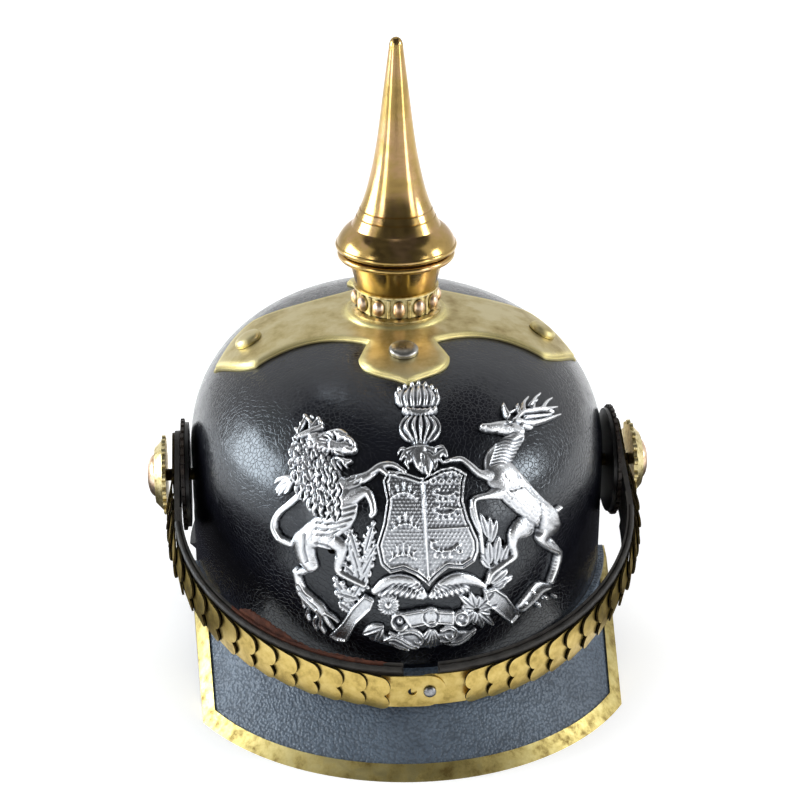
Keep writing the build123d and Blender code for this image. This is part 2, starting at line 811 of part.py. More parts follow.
def loop_band(low, high, half):
    """Right half of a band round the loop between two levels, half its height either way."""
    lean = half * tan(radians(strap_lean))
    with BuildPart() as band:
        for place, tilt in [(loop_plane.offset(-half), lean), (loop_plane.offset(half), -lean)]:
            with BuildSketch(place):
                with BuildLine():
                    inner = loop_curves(low, tilt)
                    outer = loop_curves(high, tilt)
                    Line(inner[0] @ 0, outer[0] @ 0)
                    Line(inner[1] @ 1, outer[1] @ 1)
                make_face()
        loft(ruled=True)
    return band.part


def strap_profile(start, rise):
    """Prism on the strap's side view from start to past the front, with a round end above the post."""
    with BuildPart() as prism:
        with BuildSketch(side_plane):
            with BuildLine():
                wide = strap_post_width / 2
                narrow = strap_front_width / 2
                if start < 0:
                    ThreePointArc((start + wide, wide), (start, 0), (start + wide, -wide - rise))
                    near = start + wide
                else:
                    Line((start, wide), (start, -wide - rise))
                    near = start
                Polyline(
                    (near, -wide - rise),
                    (strap_reach, -narrow - rise),
                    (strap_reach, narrow),
                    (near, wide),
                )
            make_face()
        extrude(amount=2 * strap_side, both=True)
    return prism.part


def half_space(stop):
    """Block that covers what lies beyond stop to the right of the middle."""
    with BuildPart() as block:
        with BuildSketch(Plane.YZ.offset(stop)):
            Rectangle(4 * visor_reach, 4 * visor_reach)
        extrude(amount=2 * strap_side)
    return block.part


with BuildPart() as right_strap:
    add(loop_band(0, strap_leather, half_height))
    add(strap_profile(-strap_tail, 0), mode=Mode.INTERSECT)
    add(half_space(strap_cut), mode=Mode.INTERSECT)
    with Locations(right_post):
        Cylinder(post_radius + running_gap, 4 * strap_side, mode=Mode.SUBTRACT)
right_strap.part.label = "strap_right"
export_step(right_strap.part, "parts/strap_right.step")

with BuildPart() as right_lining:
    add(loop_band(-seat_gap - lining_sheet, -seat_gap, half_height))
    add(strap_profile(lining_start, lining_rise), mode=Mode.INTERSECT)
    add(half_space(strap_cut), mode=Mode.INTERSECT)
right_lining.part.label = "strap_lining_right"
export_step(right_lining.part, "parts/strap_lining_right.step")

for name, form in [("strap_left", right_strap), ("strap_lining_left", right_lining)]:
    with BuildPart() as twin:
        mirror(form.part, about=Plane.YZ)
    twin.part.label = name
    export_step(twin.part, f"parts/{name}.step")

# Centre line of the leather's outer face, from the tail above the post to the middle of the front
with BuildLine(loop_plane) as loop_line:
    loop_curves(strap_leather, 0)
loop_wire = loop_line.wires()[0]
if loop_wire.position_at(0).X < loop_wire.position_at(1).X:
    loop_wire = Wire([edge for edge in loop_wire.edges()])
loop_length = loop_wire.length


def loop_seat(distance, height):
    """Point at a height above the leather, with the way out and the way up, at a distance from the tail."""
    spot = loop_wire.position_at(distance, position_mode=PositionMode.LENGTH)
    along = loop_wire.tangent_at(distance, position_mode=PositionMode.LENGTH)
    depth = (loop_plane.to_local_coords(spot).Y + strap_straight) / (strap_straight - strap_front)
    front_share = min(max(depth, 0), 1)
    up = (loop_plane.z_dir + loop_plane.y_dir * (tan(radians(strap_lean)) * front_share)).normalized()
    out = up.cross(along).normalized()
    if out.dot(spot - loop_plane.origin) < 0:
        out = out * -1
    return spot + out * height, out, up


def strap_half(distance):
    """Half the strap's width at a distance from the tail."""
    near = strap_post_width / 2 - strap_tail
    spot = loop_wire.position_at(distance, position_mode=PositionMode.LENGTH)
    share = max(-loop_plane.to_local_coords(spot).Y - near, 0) / (strap_reach - near)
    return (strap_post_width + (strap_front_width - strap_post_width) * share) / 2


def scale_plate(start, length, lift):
    """One scale: it rises from its root on the leather to a two-lobed free end over its neighbour."""
    seat, out, up = loop_seat(start, scale_root_gap)
    free, out_end, up_end = loop_seat(start + length, lift)
    span = (free - seat).length
    along = (free - seat).normalized()
    facing = out + out_end
    frame = Plane(origin=seat, x_dir=along, z_dir=(facing - along * facing.dot(along)).normalized())
    root = strap_half(start) - scale_edge
    half = strap_half(start + length) - scale_edge
    with BuildPart() as plate:
        with BuildSketch(Plane(origin=seat, x_dir=frame.y_dir, z_dir=along)):
            with BuildLine():
                lower = ThreePointArc((-root, 0), (0, scale_crown), (root, 0))
                upper = ThreePointArc((-root, scale_sheet), (0, scale_crown + scale_sheet), (root, scale_sheet))
                sheet_face(upper, lower)
            make_face()
        extrude(amount=span)
        with BuildSketch(frame):
            with BuildLine():
                flank = span - half / 2
                Polyline((flank, -half), (0, -root), (0, root), (flank, half))
                notch = (span - half / 2 * scale_notch_share, 0)
                ThreePointArc((flank, half), (span, half / 2), notch)
                ThreePointArc(notch, (span, -half / 2), (flank, -half))
            make_face()
        extrude(amount=2 * scale_crown + scale_sheet, both=True, mode=Mode.INTERSECT)
    return plate.part


def scale_row(stop, free_lift):
    """The scales of one half, as separate plates, to a distance from the middle of the front."""
    run = loop_length - stop - first_scale_at
    pitch = run / (scale_count - 1 + scale_length_share)
    lifts = [scale_lift] * (scale_count - 1) + [free_lift]
    return [
        scale_plate(first_scale_at + pitch * index, pitch * scale_length_share, lift)
        for index, lift in enumerate(lifts)
    ]


with BuildPart() as lug:
    add(loop_band(strap_leather + lug_lift, strap_leather + lug_lift + scale_sheet, half_height))
    add(strap_profile(scale_edge - strap_tail, -scale_edge), mode=Mode.INTERSECT)
    with BuildSketch(side_plane):
        with Locations((lug_end - strap_straight, 0)):
            Rectangle(2 * strap_straight, 2 * strap_post_width)
    extrude(amount=2 * strap_side, mode=Mode.INTERSECT)
    with Locations(right_post):
        Cylinder(post_radius + hole_gap, 4 * strap_side, mode=Mode.SUBTRACT)

with BuildPart() as scales_right:
    add(lug.part)
    for plate in scale_row(right_scales_stop, scale_lift):
        add(plate)
scales_right.part.label = "scales_right"
export_step(scales_right.part, "parts/scales_right.step")

with BuildPart() as left_row:
    add(lug.part)
    for plate in scale_row(left_scales_stop, last_scale_lift):
        add(plate)

with BuildPart() as scales_left:
    mirror(left_row.part, about=Plane.YZ)
scales_left.part.label = "scales_left"
export_step(scales_left.part, "parts/scales_left.step")

# End plates that button together at the front
front_seat, front_out, front_up = loop_seat(loop_length, 0)
front_plane = Plane(origin=front_seat, x_dir=(1, 0, 0), z_dir=front_out)
right_level = strap_leather + seat_gap
left_level = right_level + end_sheet + hole_gap


def end_plate(level, start, stop, round_end):
    """Thin plate round the front of the loop from start to stop, with one round end."""
    with BuildPart() as half_band:
        add(loop_band(level, level + end_sheet, half_height))
    with BuildPart() as plate:
        add(half_band.part)
        mirror(half_band.part, about=Plane.YZ)
        with BuildSketch(front_plane):
            inner = min(start, stop) if round_end > 0 else min(start, stop) + end_width / 2
            outer = max(start, stop) - end_width / 2 if round_end > 0 else max(start, stop)
            with Locations(((inner + outer) / 2, 0)):
                Rectangle(outer - inner, end_width)
            with Locations((outer if round_end > 0 else inner, 0)):
                Circle(end_width / 2)
        extrude(amount=2 * overrun, both=True, mode=Mode.INTERSECT)
    return plate.part


with BuildPart() as left_end_plate:
    add(end_plate(left_level, -left_end_from, left_end_to, 1))
    with Locations(front_plane):
        with Locations((button_at, 0), (-button_at, 0)):
            Cylinder(button_shank + hole_gap, 4 * overrun, mode=Mode.SUBTRACT)
left_end_plate.part.label = "end_plate_left"
export_step(left_end_plate.part, "parts/end_plate_left.step")

with BuildPart() as right_end_plate:
    add(end_plate(right_level, -right_end_from, right_end_to, -1))
    with Locations(front_plane):
        with Locations((button_at, 0)):
            Cylinder(button_shank + running_gap, 4 * overrun, mode=Mode.SUBTRACT)
right_end_plate.part.label = "end_plate_right"
export_step(right_end_plate.part, "parts/end_plate_right.step")

with BuildPart() as chin_button:
    with BuildSketch(Plane.XZ):
        with BuildLine():
            head_foot = left_level - strap_leather + end_sheet + hole_gap
            head = Bezier(
                (button_radius, head_foot),
                (button_radius, head_foot + button_height),
                (0, head_foot + button_height),
            )
            Polyline(head @ 1, (0, 0), (button_shank, 0), (button_shank, head_foot), head @ 0)
        make_face()
    revolve(axis=Axis.Z)

with BuildPart() as placed_button:
    with Locations(front_plane):
        with Locations((button_at, 0)):
            add(chin_button.part)
placed_button.part.label = "chin_button"
export_step(placed_button.part, "parts/chin_button.step")


# Liner: a sweatband inside the wall, and the fingers that are sewn to it and arch to an open mouth
liner_half_width = skull_half_width - leather - liner_gap
liner_half_length = skull_half_length - leather - liner_gap

with BuildPart() as sweatband:
    with BuildSketch(Plane.XY.offset(liner_edge)):
        Ellipse(liner_half_width, liner_half_length)
        Ellipse(liner_half_width - liner_sheet, liner_half_length - liner_sheet, mode=Mode.SUBTRACT)
    extrude(amount=liner_fold - liner_edge)
sweatband.part.label = "sweatband"
export_step(sweatband.part, "parts/sweatband.step")


def finger_form(grow, floor):
    """Solid inside the fingers' outer face, larger by grow, cut level at floor."""
    wall = liner_half_length + grow
    with BuildPart() as form:
        with BuildSketch(Plane.XZ):
            with BuildLine():
                low, high = [(share * wall, height + grow) for share, height in finger_shares]
                arch = Bezier((wall, liner_fold), low, high, (liner_mouth, liner_crown + grow))
                Polyline(arch @ 1, (0, liner_crown + grow), (0, floor), (wall, floor), arch @ 0)
            make_face()
        revolve(axis=Axis.Z)
        scale(by=((liner_half_width + grow) / wall, 1, 1))
    return form.part


with BuildPart() as liner_fingers:
    add(finger_form(0, liner_fold - overrun))
    add(finger_form(-liner_sheet, liner_fold - 2 * overrun), mode=Mode.SUBTRACT)
    split(bisect_by=Plane.XY.offset(liner_fold + seat_gap), keep=Keep.TOP)
    with BuildSketch(Plane.XY.offset(liner_fold)):
        Circle(liner_mouth)
        with PolarLocations(0, finger_count // 2):
            Rectangle(2 * visor_reach, finger_slot)
    extrude(amount=skull_top, mode=Mode.SUBTRACT)
liner_fingers.part.label = "liner_fingers"
export_step(liner_fingers.part, "parts/liner_fingers.step")
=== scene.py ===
import bpy
import json
import math
import numpy as np
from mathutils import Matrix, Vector


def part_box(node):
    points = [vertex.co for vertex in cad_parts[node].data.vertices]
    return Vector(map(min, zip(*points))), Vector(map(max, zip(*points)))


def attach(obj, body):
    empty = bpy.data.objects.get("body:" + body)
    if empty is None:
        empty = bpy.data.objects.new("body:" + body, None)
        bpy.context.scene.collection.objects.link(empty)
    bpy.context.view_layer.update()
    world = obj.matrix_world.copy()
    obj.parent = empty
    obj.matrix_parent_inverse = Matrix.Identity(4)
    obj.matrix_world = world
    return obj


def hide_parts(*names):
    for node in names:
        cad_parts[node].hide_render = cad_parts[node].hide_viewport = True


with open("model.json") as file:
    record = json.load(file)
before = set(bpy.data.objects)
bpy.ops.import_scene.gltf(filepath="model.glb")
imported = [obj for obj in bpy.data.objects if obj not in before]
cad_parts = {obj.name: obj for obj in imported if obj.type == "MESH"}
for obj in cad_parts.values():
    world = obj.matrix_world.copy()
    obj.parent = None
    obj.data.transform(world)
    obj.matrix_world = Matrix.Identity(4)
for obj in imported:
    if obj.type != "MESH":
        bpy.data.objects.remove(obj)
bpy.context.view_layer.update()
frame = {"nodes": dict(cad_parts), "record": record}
nodes = frame["nodes"]
mm = 0.001
scene = bpy.context.scene

# Camera: a 90 mm lens on 36 mm, 0.889 m from the helmet, a little to its left and 25 degrees up
aim = Vector((0, 0, 0.10056))
camera_turn = math.radians(-4.5)
camera_rise = math.radians(24.96)
camera_far = 0.8887
reach = math.cos(camera_rise) * camera_far
camera_data = bpy.data.cameras.new("camera")
camera_data.lens = 90
camera_data.sensor_width = 36
camera_data.shift_x = 0.005
camera = bpy.data.objects.new("camera", camera_data)
camera.location = aim + Vector(
    (math.sin(camera_turn) * reach, -math.cos(camera_turn) * reach, math.sin(camera_rise) * camera_far)
)
camera.rotation_euler = (aim - camera.location).to_track_quat("-Z", "Y").to_euler()
scene.collection.objects.link(camera)
scene.camera = camera

scene.view_settings.view_transform = "Standard"


def linear(code):
    """An sRGB hex colour as linear RGBA."""
    parts = [int(code[i:i + 2], 16) / 255 for i in (1, 3, 5)]
    return tuple(c / 12.92 if c <= 0.04045 else ((c + 0.055) / 1.055) ** 2.4 for c in parts) + (1.0,)


def add_node(tree, kind, settings=None, **links):
    """A node with its settings, and its sockets' values or what they are linked to: a socket or a node."""
    made = tree.nodes.new("ShaderNode" + kind)
    for name, value in (settings or {}).items():
        setattr(made, name, value)
    for name, value in links.items():
        socket = made.inputs[int(name[1:])] if name[1:].isdigit() else made.inputs[name.replace("_", " ")]
        if isinstance(value, bpy.types.Node):
            value = value.outputs[0]
        if isinstance(value, bpy.types.NodeSocket):
            tree.links.new(value, socket)
        elif value is not None:
            socket.default_value = value
    return made


def new_material(name):
    """A material with an empty tree, that tree and its Object coordinates."""
    made = bpy.data.materials.new(name)
    made.use_nodes = True
    tree = made.node_tree
    tree.nodes.clear()
    return made, tree, add_node(tree, "TexCoord").outputs["Object"]


def shown(made, shader):
    """The material with that shader on its output."""
    add_node(made.node_tree, "OutputMaterial", Surface=shader)
    return made


def ramp(value, stops, smooth=False):
    """A colour ramp on value, with stops of (position, hex colour or grey level)."""
    made = add_node(value.id_data, "ValToRGB", Fac=value)
    if smooth:
        made.color_ramp.interpolation = "EASE"
    band = made.color_ramp.elements
    while len(band) < len(stops):
        band.new(0.5)
    for element, (position, shade) in zip(band, stops):
        element.position = position
        element.color = linear(shade) if isinstance(shade, str) else (shade, shade, shade, 1)
    return made.outputs["Color"]


def mixed(how, first, second):
    """Two values joined by a math node."""
    return add_node(first.id_data, "Math", {"operation": how}, _0=first, _1=second)


def tinted(share, first, second, how="MIX"):
    """Two colours joined by a share of the second."""
    return add_node(first.id_data, "Mix", {"data_type": "RGBA", "blend_type": how}, _0=share, _6=first,
                    _7=second).outputs[2]


def primitive(name, add, **how):
    """An object of that name, made by one of Blender's primitives."""
    bpy.ops.object.select_all(action="DESELECT")
    add(**how)
    made = bpy.context.object
    made.name = name
    return made


def mode(kind):
    """Goes into or out of edit mode."""
    bpy.ops.object.mode_set(mode=kind)


def cut_away(made, kind, picked):
    """Deletes the picked faces or vertices."""
    mode("EDIT")
    bpy.ops.mesh.select_mode(type=kind)
    bpy.ops.mesh.select_all(action="DESELECT")
    mode("OBJECT")
    mesh = made.data
    (mesh.polygons if kind == "FACE" else mesh.vertices).foreach_set("select", picked)
    mode("EDIT")
    bpy.ops.mesh.delete(type=kind)
    mode("OBJECT")


# Floor, backdrop and lamps
paper_glow = 0.42
sky_level, sky_seen = 0.45, 0.55  # what every ray gets, and what the camera sees on top of it
shade_start, shade_end = 0.24, 0.33  # where the painted shadow by the helmet starts to fade and is gone, in metres from the helmet's axis


def seen_rays(tree, mirrored):
    """1 for the rays of the camera and through glass, mirrored for those of reflections, 0 for the rest."""
    path = add_node(tree, "LightPath").outputs
    reflected = mixed("MULTIPLY", path["Is Glossy Ray"], mirrored)
    seen = mixed("MAXIMUM", path["Is Camera Ray"], reflected)
    return mixed("MAXIMUM", seen, path["Is Transmission Ray"])


def studio_paper():
    # White paper, matt, lit until its own shadows almost go
    made, tree, _ = new_material("studio_paper")
    paper = add_node(tree, "BsdfDiffuse", Color=(0.8, 0.8, 0.8, 1))
    glow = mixed("MULTIPLY", seen_rays(tree, 1.0), paper_glow)
    light = add_node(tree, "Emission", Color=(1, 1, 1, 1), Strength=glow)
    return shown(made, add_node(tree, "AddShader", _0=paper, _1=light))


def black_cloth():
    # Black cloth with soft folds, which the polished metal and leather mirror
    made, tree, place = new_material("studio_black_cloth")
    folds = add_node(tree, "TexNoise", Vector=place, Scale=1.2, Detail=2.0)
    shade = ramp(folds.outputs["Fac"], [(0.3, 0.04), (0.75, 0.15)])
    return shown(made, add_node(tree, "Emission", Color=shade, Strength=1.0))


def near_shade():
    # Painted shadow: the helmet's own shade on the paper, a dark disc close beside it that only reflections
    # see, fading out away from it
    made, tree, place = new_material("studio_near_shade")
    radius = add_node(tree, "VectorMath", {"operation": "LENGTH"}, _0=place)
    clear = ramp(radius.outputs["Value"], [(shade_start, 0.0), (shade_end, 1.0)])
    dim = add_node(tree, "Emission", Color=(0.03, 0.03, 0.035, 1), Strength=1.0)
    unseen = add_node(tree, "BsdfTransparent")
    return shown(made, add_node(tree, "MixShader", Fac=clear, _1=dim, _2=unseen))


def keep_faces(made, chosen):
    """Deletes the faces that chosen doesn't pick by their swing from the front and their rise, in degrees."""
    away = []
    for face in made.data.polygons:
        x, y, z = face.center
        rise = math.degrees(math.asin(z / face.center.length))
        away.append(not chosen(math.degrees(abs(math.atan2(x, -y))), rise))
    cut_away(made, "FACE", away)


def dark_room():
    """The studio's unlit side, its strip of floor and the helmet's painted shadow beside it, which only
    reflections show.
    """
    cloth = black_cloth()
    side = primitive("studio_dark_side", bpy.ops.mesh.primitive_uv_sphere_add, segments=72, ring_count=36,
                     radius=3.2, location=(0, 0, 0))
    keep_faces(side, lambda swing, rise: rise > 16 and swing < 58 or rise > 50 and swing < 150)
    strip = primitive("studio_dark_floor", bpy.ops.mesh.primitive_plane_add, size=1,
                      location=(-0.1, -1.9, 0.004))
    mode("EDIT")
    bpy.ops.transform.resize(value=(0.75, 2.4, 1))
    mode("OBJECT")
    disc = primitive("studio_near_shade", bpy.ops.mesh.primitive_circle_add, vertices=72, radius=shade_end,
                     fill_type="TRIFAN", location=(0, 0, 0.003))
    keep_faces(disc, lambda swing, rise: 62 < swing < 130)
    for card, finish in ((side, cloth), (strip, cloth), (disc, near_shade())):
        card.data.materials.append(finish)
        card.visible_camera = card.visible_diffuse = card.visible_shadow = card.visible_transmission = False


floor = primitive("studio_floor", bpy.ops.mesh.primitive_circle_add, vertices=96, radius=6, fill_type="NGON",
                  location=(0, 0, 0))
floor.data.materials.append(studio_paper())
dark_room()

world = bpy.data.worlds.new("studio")
scene.world = world
world.use_nodes = True
sky = world.node_tree
sky.nodes.clear()
sky_glow = add_node(sky, "Math", {"operation": "MULTIPLY_ADD"}, _0=seen_rays(sky, 0.5), _1=sky_seen,
                    _2=sky_level)
sky_light = add_node(sky, "Background", Color=(1, 1, 1, 1), Strength=sky_glow)
add_node(sky, "OutputWorld", Surface=sky_light)


def softbox(name, place, size, power, tint=(1, 1, 1), mirrored=True):
    """A square lamp at place, facing the helmet; reflections may leave it out."""
    lamp = bpy.data.lights.new(name, "AREA")
    lamp.shape = "RECTANGLE"
    lamp.size, lamp.size_y = size
    lamp.energy = power
    lamp.color = tint
    made = bpy.data.objects.new(name, lamp)
    made.location = place
    made.rotation_euler = (Vector((0, 0, 0.1)) - Vector(place)).to_track_quat("-Z", "Y").to_euler()
    made.visible_glossy = mirrored
    scene.collection.objects.link(made)


softbox("left_box", (-1.58, 0.24, 0.5), (0.9, 0.7), 22, (0.86, 0.94, 1.0))
softbox("front_left_box", (-1.3, -0.95, 0.35), (0.34, 0.9), 5)
softbox("right_box", (1.52, -0.25, 0.64), (0.36, 0.42), 7, (0.9, 0.96, 1.0))
softbox("front_right_box", (1.3, -0.95, 0.35), (0.3, 0.8), 4)
softbox("back_right_box", (1.15, 1.1, 1.0), (0.5, 0.5), 4, mirrored=False)
softbox("top_box", (0.1, 0.75, 1.6), (1.0, 0.7), 9, mirrored=False)
softbox("high_left_box", (-0.44, 0.69, 1.36), (0.12, 0.06), 0.25, (0.86, 0.94, 1.0))


# Materials
def finish_material(made, base, rough, metallic=0.0, *, bump, depth, strength=1.0, under=None, **extra):
    """A Principled surface with a bump of a depth in millimetres, on the faces' normals or on under's."""
    tree = made.node_tree
    raised = add_node(tree, "Bump", Strength=strength, Distance=depth * mm, Height=bump, Normal=under)
    return shown(made, add_node(tree, "BsdfPrincipled", Base_Color=base, Roughness=rough, Metallic=metallic,
                                Normal=raised, Coat_Normal=raised, **extra))


def speckle(place, size, detail, rough=0.6):
    """Noise whose grains are about size millimetres wide."""
    return add_node(place.id_data, "TexNoise", Vector=place, Scale=1 / (size * mm), Detail=detail,
                    Roughness=rough).outputs["Fac"]


def lacquered_leather():
    # Lacquered cowhide: a hard black gloss over skin, with a fine crackle and slow waves in the reflections
    made, tree, place = new_material("lacquered_leather")
    cracks = add_node(tree, "TexVoronoi", {"feature": "DISTANCE_TO_EDGE"}, Vector=place, Scale=1 / (1.9 * mm))
    line = ramp(cracks.outputs["Distance"], [(0.0, 0.0), (0.07, 1.0)])
    wave = speckle(place, 13, 3)
    grain = speckle(place, 0.9, 4)
    height = add_node(tree, "Math", {"operation": "MULTIPLY_ADD"}, _0=wave, _1=1.5,
                      _2=mixed("MULTIPLY", line, 0.2))
    total = mixed("ADD", height, mixed("MULTIPLY", grain, 0.24))
    tone = ramp(speckle(place, 30, 4), [(0.3, "#09090e"), (0.75, "#11121a")])
    rough = ramp(speckle(place, 7, 5), [(0.3, 0.12), (0.8, 0.30)])
    return finish_material(made, tone, rough, bump=total, depth=0.34, strength=0.6,
                           Coat_Weight=0.3, Coat_Roughness=0.2, Specular_Tint=(0.84, 0.92, 1.0, 1.0))


def grained_leather():
    # Embossed cowhide with a pebble grain of about 1.2 mm and a low gloss
    made, tree, place = new_material("pebble_grain_leather")
    wander = add_node(tree, "TexNoise", Vector=place, Scale=1 / (3 * mm), Detail=2.0)
    bent = add_node(tree, "VectorMath", {"operation": "SCALE"}, _0=wander.outputs["Color"], Scale=0.5 * mm)
    moved = add_node(tree, "VectorMath", {"operation": "ADD"}, _0=place, _1=bent)
    cells = add_node(tree, "TexVoronoi", {"feature": "SMOOTH_F1"}, Vector=moved, Scale=1 / (1.2 * mm),
                     Smoothness=0.35)
    pebble = ramp(cells.outputs["Distance"], [(0.1, 1.0), (0.45, 0.6), (0.75, 0.0)], smooth=True)
    fine = speckle(place, 0.45, 3)
    fold = speckle(place, 5, 3)
    height = mixed("ADD", mixed("ADD", pebble, mixed("MULTIPLY", fine, 0.35)), fold)
    # The light slate grey-blue of this tone is partly faded, dusty leather and partly a painted sheen
    worn = ramp(speckle(place, 22, 3), [(0.3, "#4d5967"), (0.8, "#6a7887")])
    # Painted shade: the gaps between the pebbles are darkened in the colour
    hollow = ramp(pebble, [(0.1, 0.66), (0.7, 1.0)])
    tone = tinted(1.0, worn, hollow, "MULTIPLY")
    rough = ramp(pebble, [(0.1, 0.55), (0.8, 0.3)])
    return finish_material(made, tone, rough, bump=height, depth=0.3, strength=0.9)


def smooth_leather(name, dark, light, gloss=0.42):
    # Vegetable-tanned strap leather, dyed through and waxed, with fine creases
    made, tree, place = new_material(name)
    cells = add_node(tree, "TexVoronoi", {"feature": "DISTANCE_TO_EDGE"}, Vector=place, Scale=1 / (1.1 * mm))
    crease = ramp(cells.outputs["Distance"], [(0.0, 0.0), (0.1, 1.0)])
    height = mixed("ADD", mixed("MULTIPLY", crease, 0.5), speckle(place, 2.5, 5))
    tone = ramp(speckle(place, 6, 6, 0.7), [(0.3, dark), (0.75, light)])
    rough = ramp(speckle(place, 3, 4), [(0.3, gloss), (0.8, gloss + 0.22)])
    return finish_material(made, tone, rough, bump=height, depth=0.12, strength=0.7)


def suede():
    # Split suede: short fibres, no gloss, worn patches darker
    made, _, place = new_material("red_brown_suede")
    tone = ramp(speckle(place, 3.5, 8, 0.75), [(0.25, "#20110c"), (0.5, "#4c2718"), (0.8, "#704028")])
    return finish_material(made, tone, 0.95, bump=speckle(place, 0.5, 6), depth=0.3)


def old_brass(name, clean, worn, dark, gloss, patina=9.0, dents=0.0, metal_bump=0.03, dirt_and_shade_reach=0.0, rolled=0.0):
    # Rolled brass sheet, polished by hand: yellow where it is rubbed, brown in patches, fine scratches; dirt
    # and painted shade where pieces meet, and a painted highlight on a rolled border
    made, tree, place = new_material(name)
    cloud = speckle(place, patina, 6, 0.65)
    tone = ramp(cloud, [(0.32, dark), (0.48, worn), (0.62, clean)])
    rough = ramp(speckle(place, patina / 2, 5), [(0.3, gloss + 0.16), (0.7, gloss)])
    scratch = add_node(tree, "Mapping", Vector=place, Scale=(1, 0.12, 0.5))
    lines = speckle(scratch, 0.5, 4)
    height = mixed("ADD", mixed("MULTIPLY", speckle(place, 6, 2), dents), lines)
    if dirt_and_shade_reach:  # dirt and painted shade, darker where two pieces meet within that many millimetres
        open_sky = add_node(tree, "AmbientOcclusion", {"samples": 6, "only_local": True}, Distance=dirt_and_shade_reach * mm)
        dirt_and_shade = ramp(open_sky.outputs["AO"], [(0.46, "#2c2413"), (0.76, "#ffffff")])
        tone = tinted(1.0, tone, dirt_and_shade, "MULTIPLY")
    turned = None
    if rolled:  # a border rolled over within rolled millimetres of the edge, with a painted highlight in its colour where it turns down
        turned = add_node(tree, "Bevel", {"samples": 8}, Radius=rolled * mm)
        flat = add_node(tree, "NewGeometry").outputs["True Normal"]
        tilt = add_node(tree, "VectorMath", {"operation": "DOT_PRODUCT"}, _0=turned, _1=flat)
        edge_highlight = ramp(tilt.outputs["Value"], [(0.8, 1.0), (0.97, 0.0)])
        tone = tinted(edge_highlight, tone, linear("#fff0a8"))
    return finish_material(made, tone, rough, 1.0, bump=height, depth=metal_bump, strength=0.6, under=turned)


def turned_gilt():
    # Spun brass with old gilding: lathe lines run round it, a pink cast where the gilt has thinned
    made, tree, place = new_material("turned_gilt_brass")
    tone = ramp(speckle(place, 14, 5, 0.6),
                [(0.3, "#a98c54"), (0.48, "#bfa061"), (0.6, "#cba678"), (0.75, "#b49858")])
    rings = add_node(tree, "Mapping", Vector=place, Scale=(0.02, 0.02, 1))
    lines = speckle(rings, 0.35, 4)
    rough = ramp(speckle(place, 5, 6), [(0.3, 0.15), (0.75, 0.24)])
    height = mixed("ADD", lines, mixed("MULTIPLY", speckle(place, 0.8, 3), 0.6))
    return finish_material(made, tone, rough, 1.0, bump=height, depth=0.02, strength=0.5)


def painted(name, dark, light, gloss):
    # Stove enamel on sheet metal, chipped and dusty
    made, _, place = new_material(name)
    tone = ramp(speckle(place, 2.2, 8, 0.7), [(0.35, dark), (0.75, light)])
    return finish_material(made, tone, gloss, bump=speckle(place, 1.2, 6), depth=0.15)


def silvered():
    # Silver-plated stamping: bright on the high places, black oxide left in the hollows
    made, tree, place = new_material("silvered_stamping")
    hollow = add_node(tree, "Attribute", {"attribute_name": "relief"}).outputs["Fac"]
    cloud = speckle(place, 1.6, 5, 0.7)
    level = mixed("ADD", hollow, mixed("MULTIPLY", mixed("SUBTRACT", cloud, 0.5), 0.5))
    tone = ramp(level, [(0.10, "#0d0d0f"), (0.31, "#6c6f75"), (0.58, "#c4c7cc"), (0.88, "#f4f5f7")])
    rough = ramp(level, [(0.15, 0.5), (0.6, 0.27)])
    return finish_material(made, tone, rough, 1.0, bump=speckle(place, 0.7, 4), depth=0.10)


finishes = {
    "lacquered_leather": lacquered_leather(),
    "grained_leather": grained_leather(),
    "trim_brass": old_brass("edge_trim_brass", "#d4c486", "#c2af6e", "#84703f", 0.36, 6, 0.8, 0.05),
    "gilt_brass": turned_gilt(),
    "matte_brass": old_brass("matte_sheet_brass", "#ddd0a2", "#cfbf8a", "#ae9a64", 0.33, 16, 0.6, 0.03,
                             rolled=5.0),
    "scale_brass": old_brass("scale_brass", "#d8c07a", "#cbb168", "#a48d4e", 0.27, 7, 0.2, 0.02, dirt_and_shade_reach=1.2),
    "nut_brass": old_brass("nut_brass", "#93793c", "#75602f", "#3c3120", 0.4),
    "silvered_metal": old_brass("silvered_button", "#d5d6d8", "#b4b5b8", "#6b6c70", 0.2),
    "dark_metal": painted("worn_cockade_paint", "#0d0b0a", "#3a2c22", 0.5),
    "black_enamel": painted("black_cockade_enamel", "#060606", "#141414", 0.3),
    "strap_leather": smooth_leather("black_strap_leather", "#1b1917", "#3e3a35"),
    "suede": suede(),
    "washer_leather": smooth_leather("washer_leather", "#1c1009", "#33200f"),
    "liner_leather": smooth_leather("tan_liner_leather", "#8a5f38", "#b98a5c", 0.55),
}
pale_gilt = old_brass("pale_cast_gilt", "#eadcab", "#dccb92", "#978250", 0.28, 2.2, 0.5, 0.08, dirt_and_shade_reach=1.2)
rose_gilt = old_brass("rose_gilt_pearls", "#f2dcc4", "#e6c4a2", "#b98c68", 0.26, 3, 0.3, 0.02)
silver_stud = old_brass("silvered_stud", "#cfcdc8", "#a9a69e", "#6f6a60", 0.24)
# Dark brass for cut edges and backs: partly tarnish, partly painted shade
tarnish_and_shade = old_brass("tarnished_and_shaded_edge", "#4b4023", "#332b19", "#191510", 0.45, 3)

slot_of = {entry["node"]: entry["material_slot"] for entry in frame["record"]["subparts"]}
for name, piece in nodes.items():
    piece.data.materials.clear()
    piece.data.materials.append(finishes[slot_of[name]])


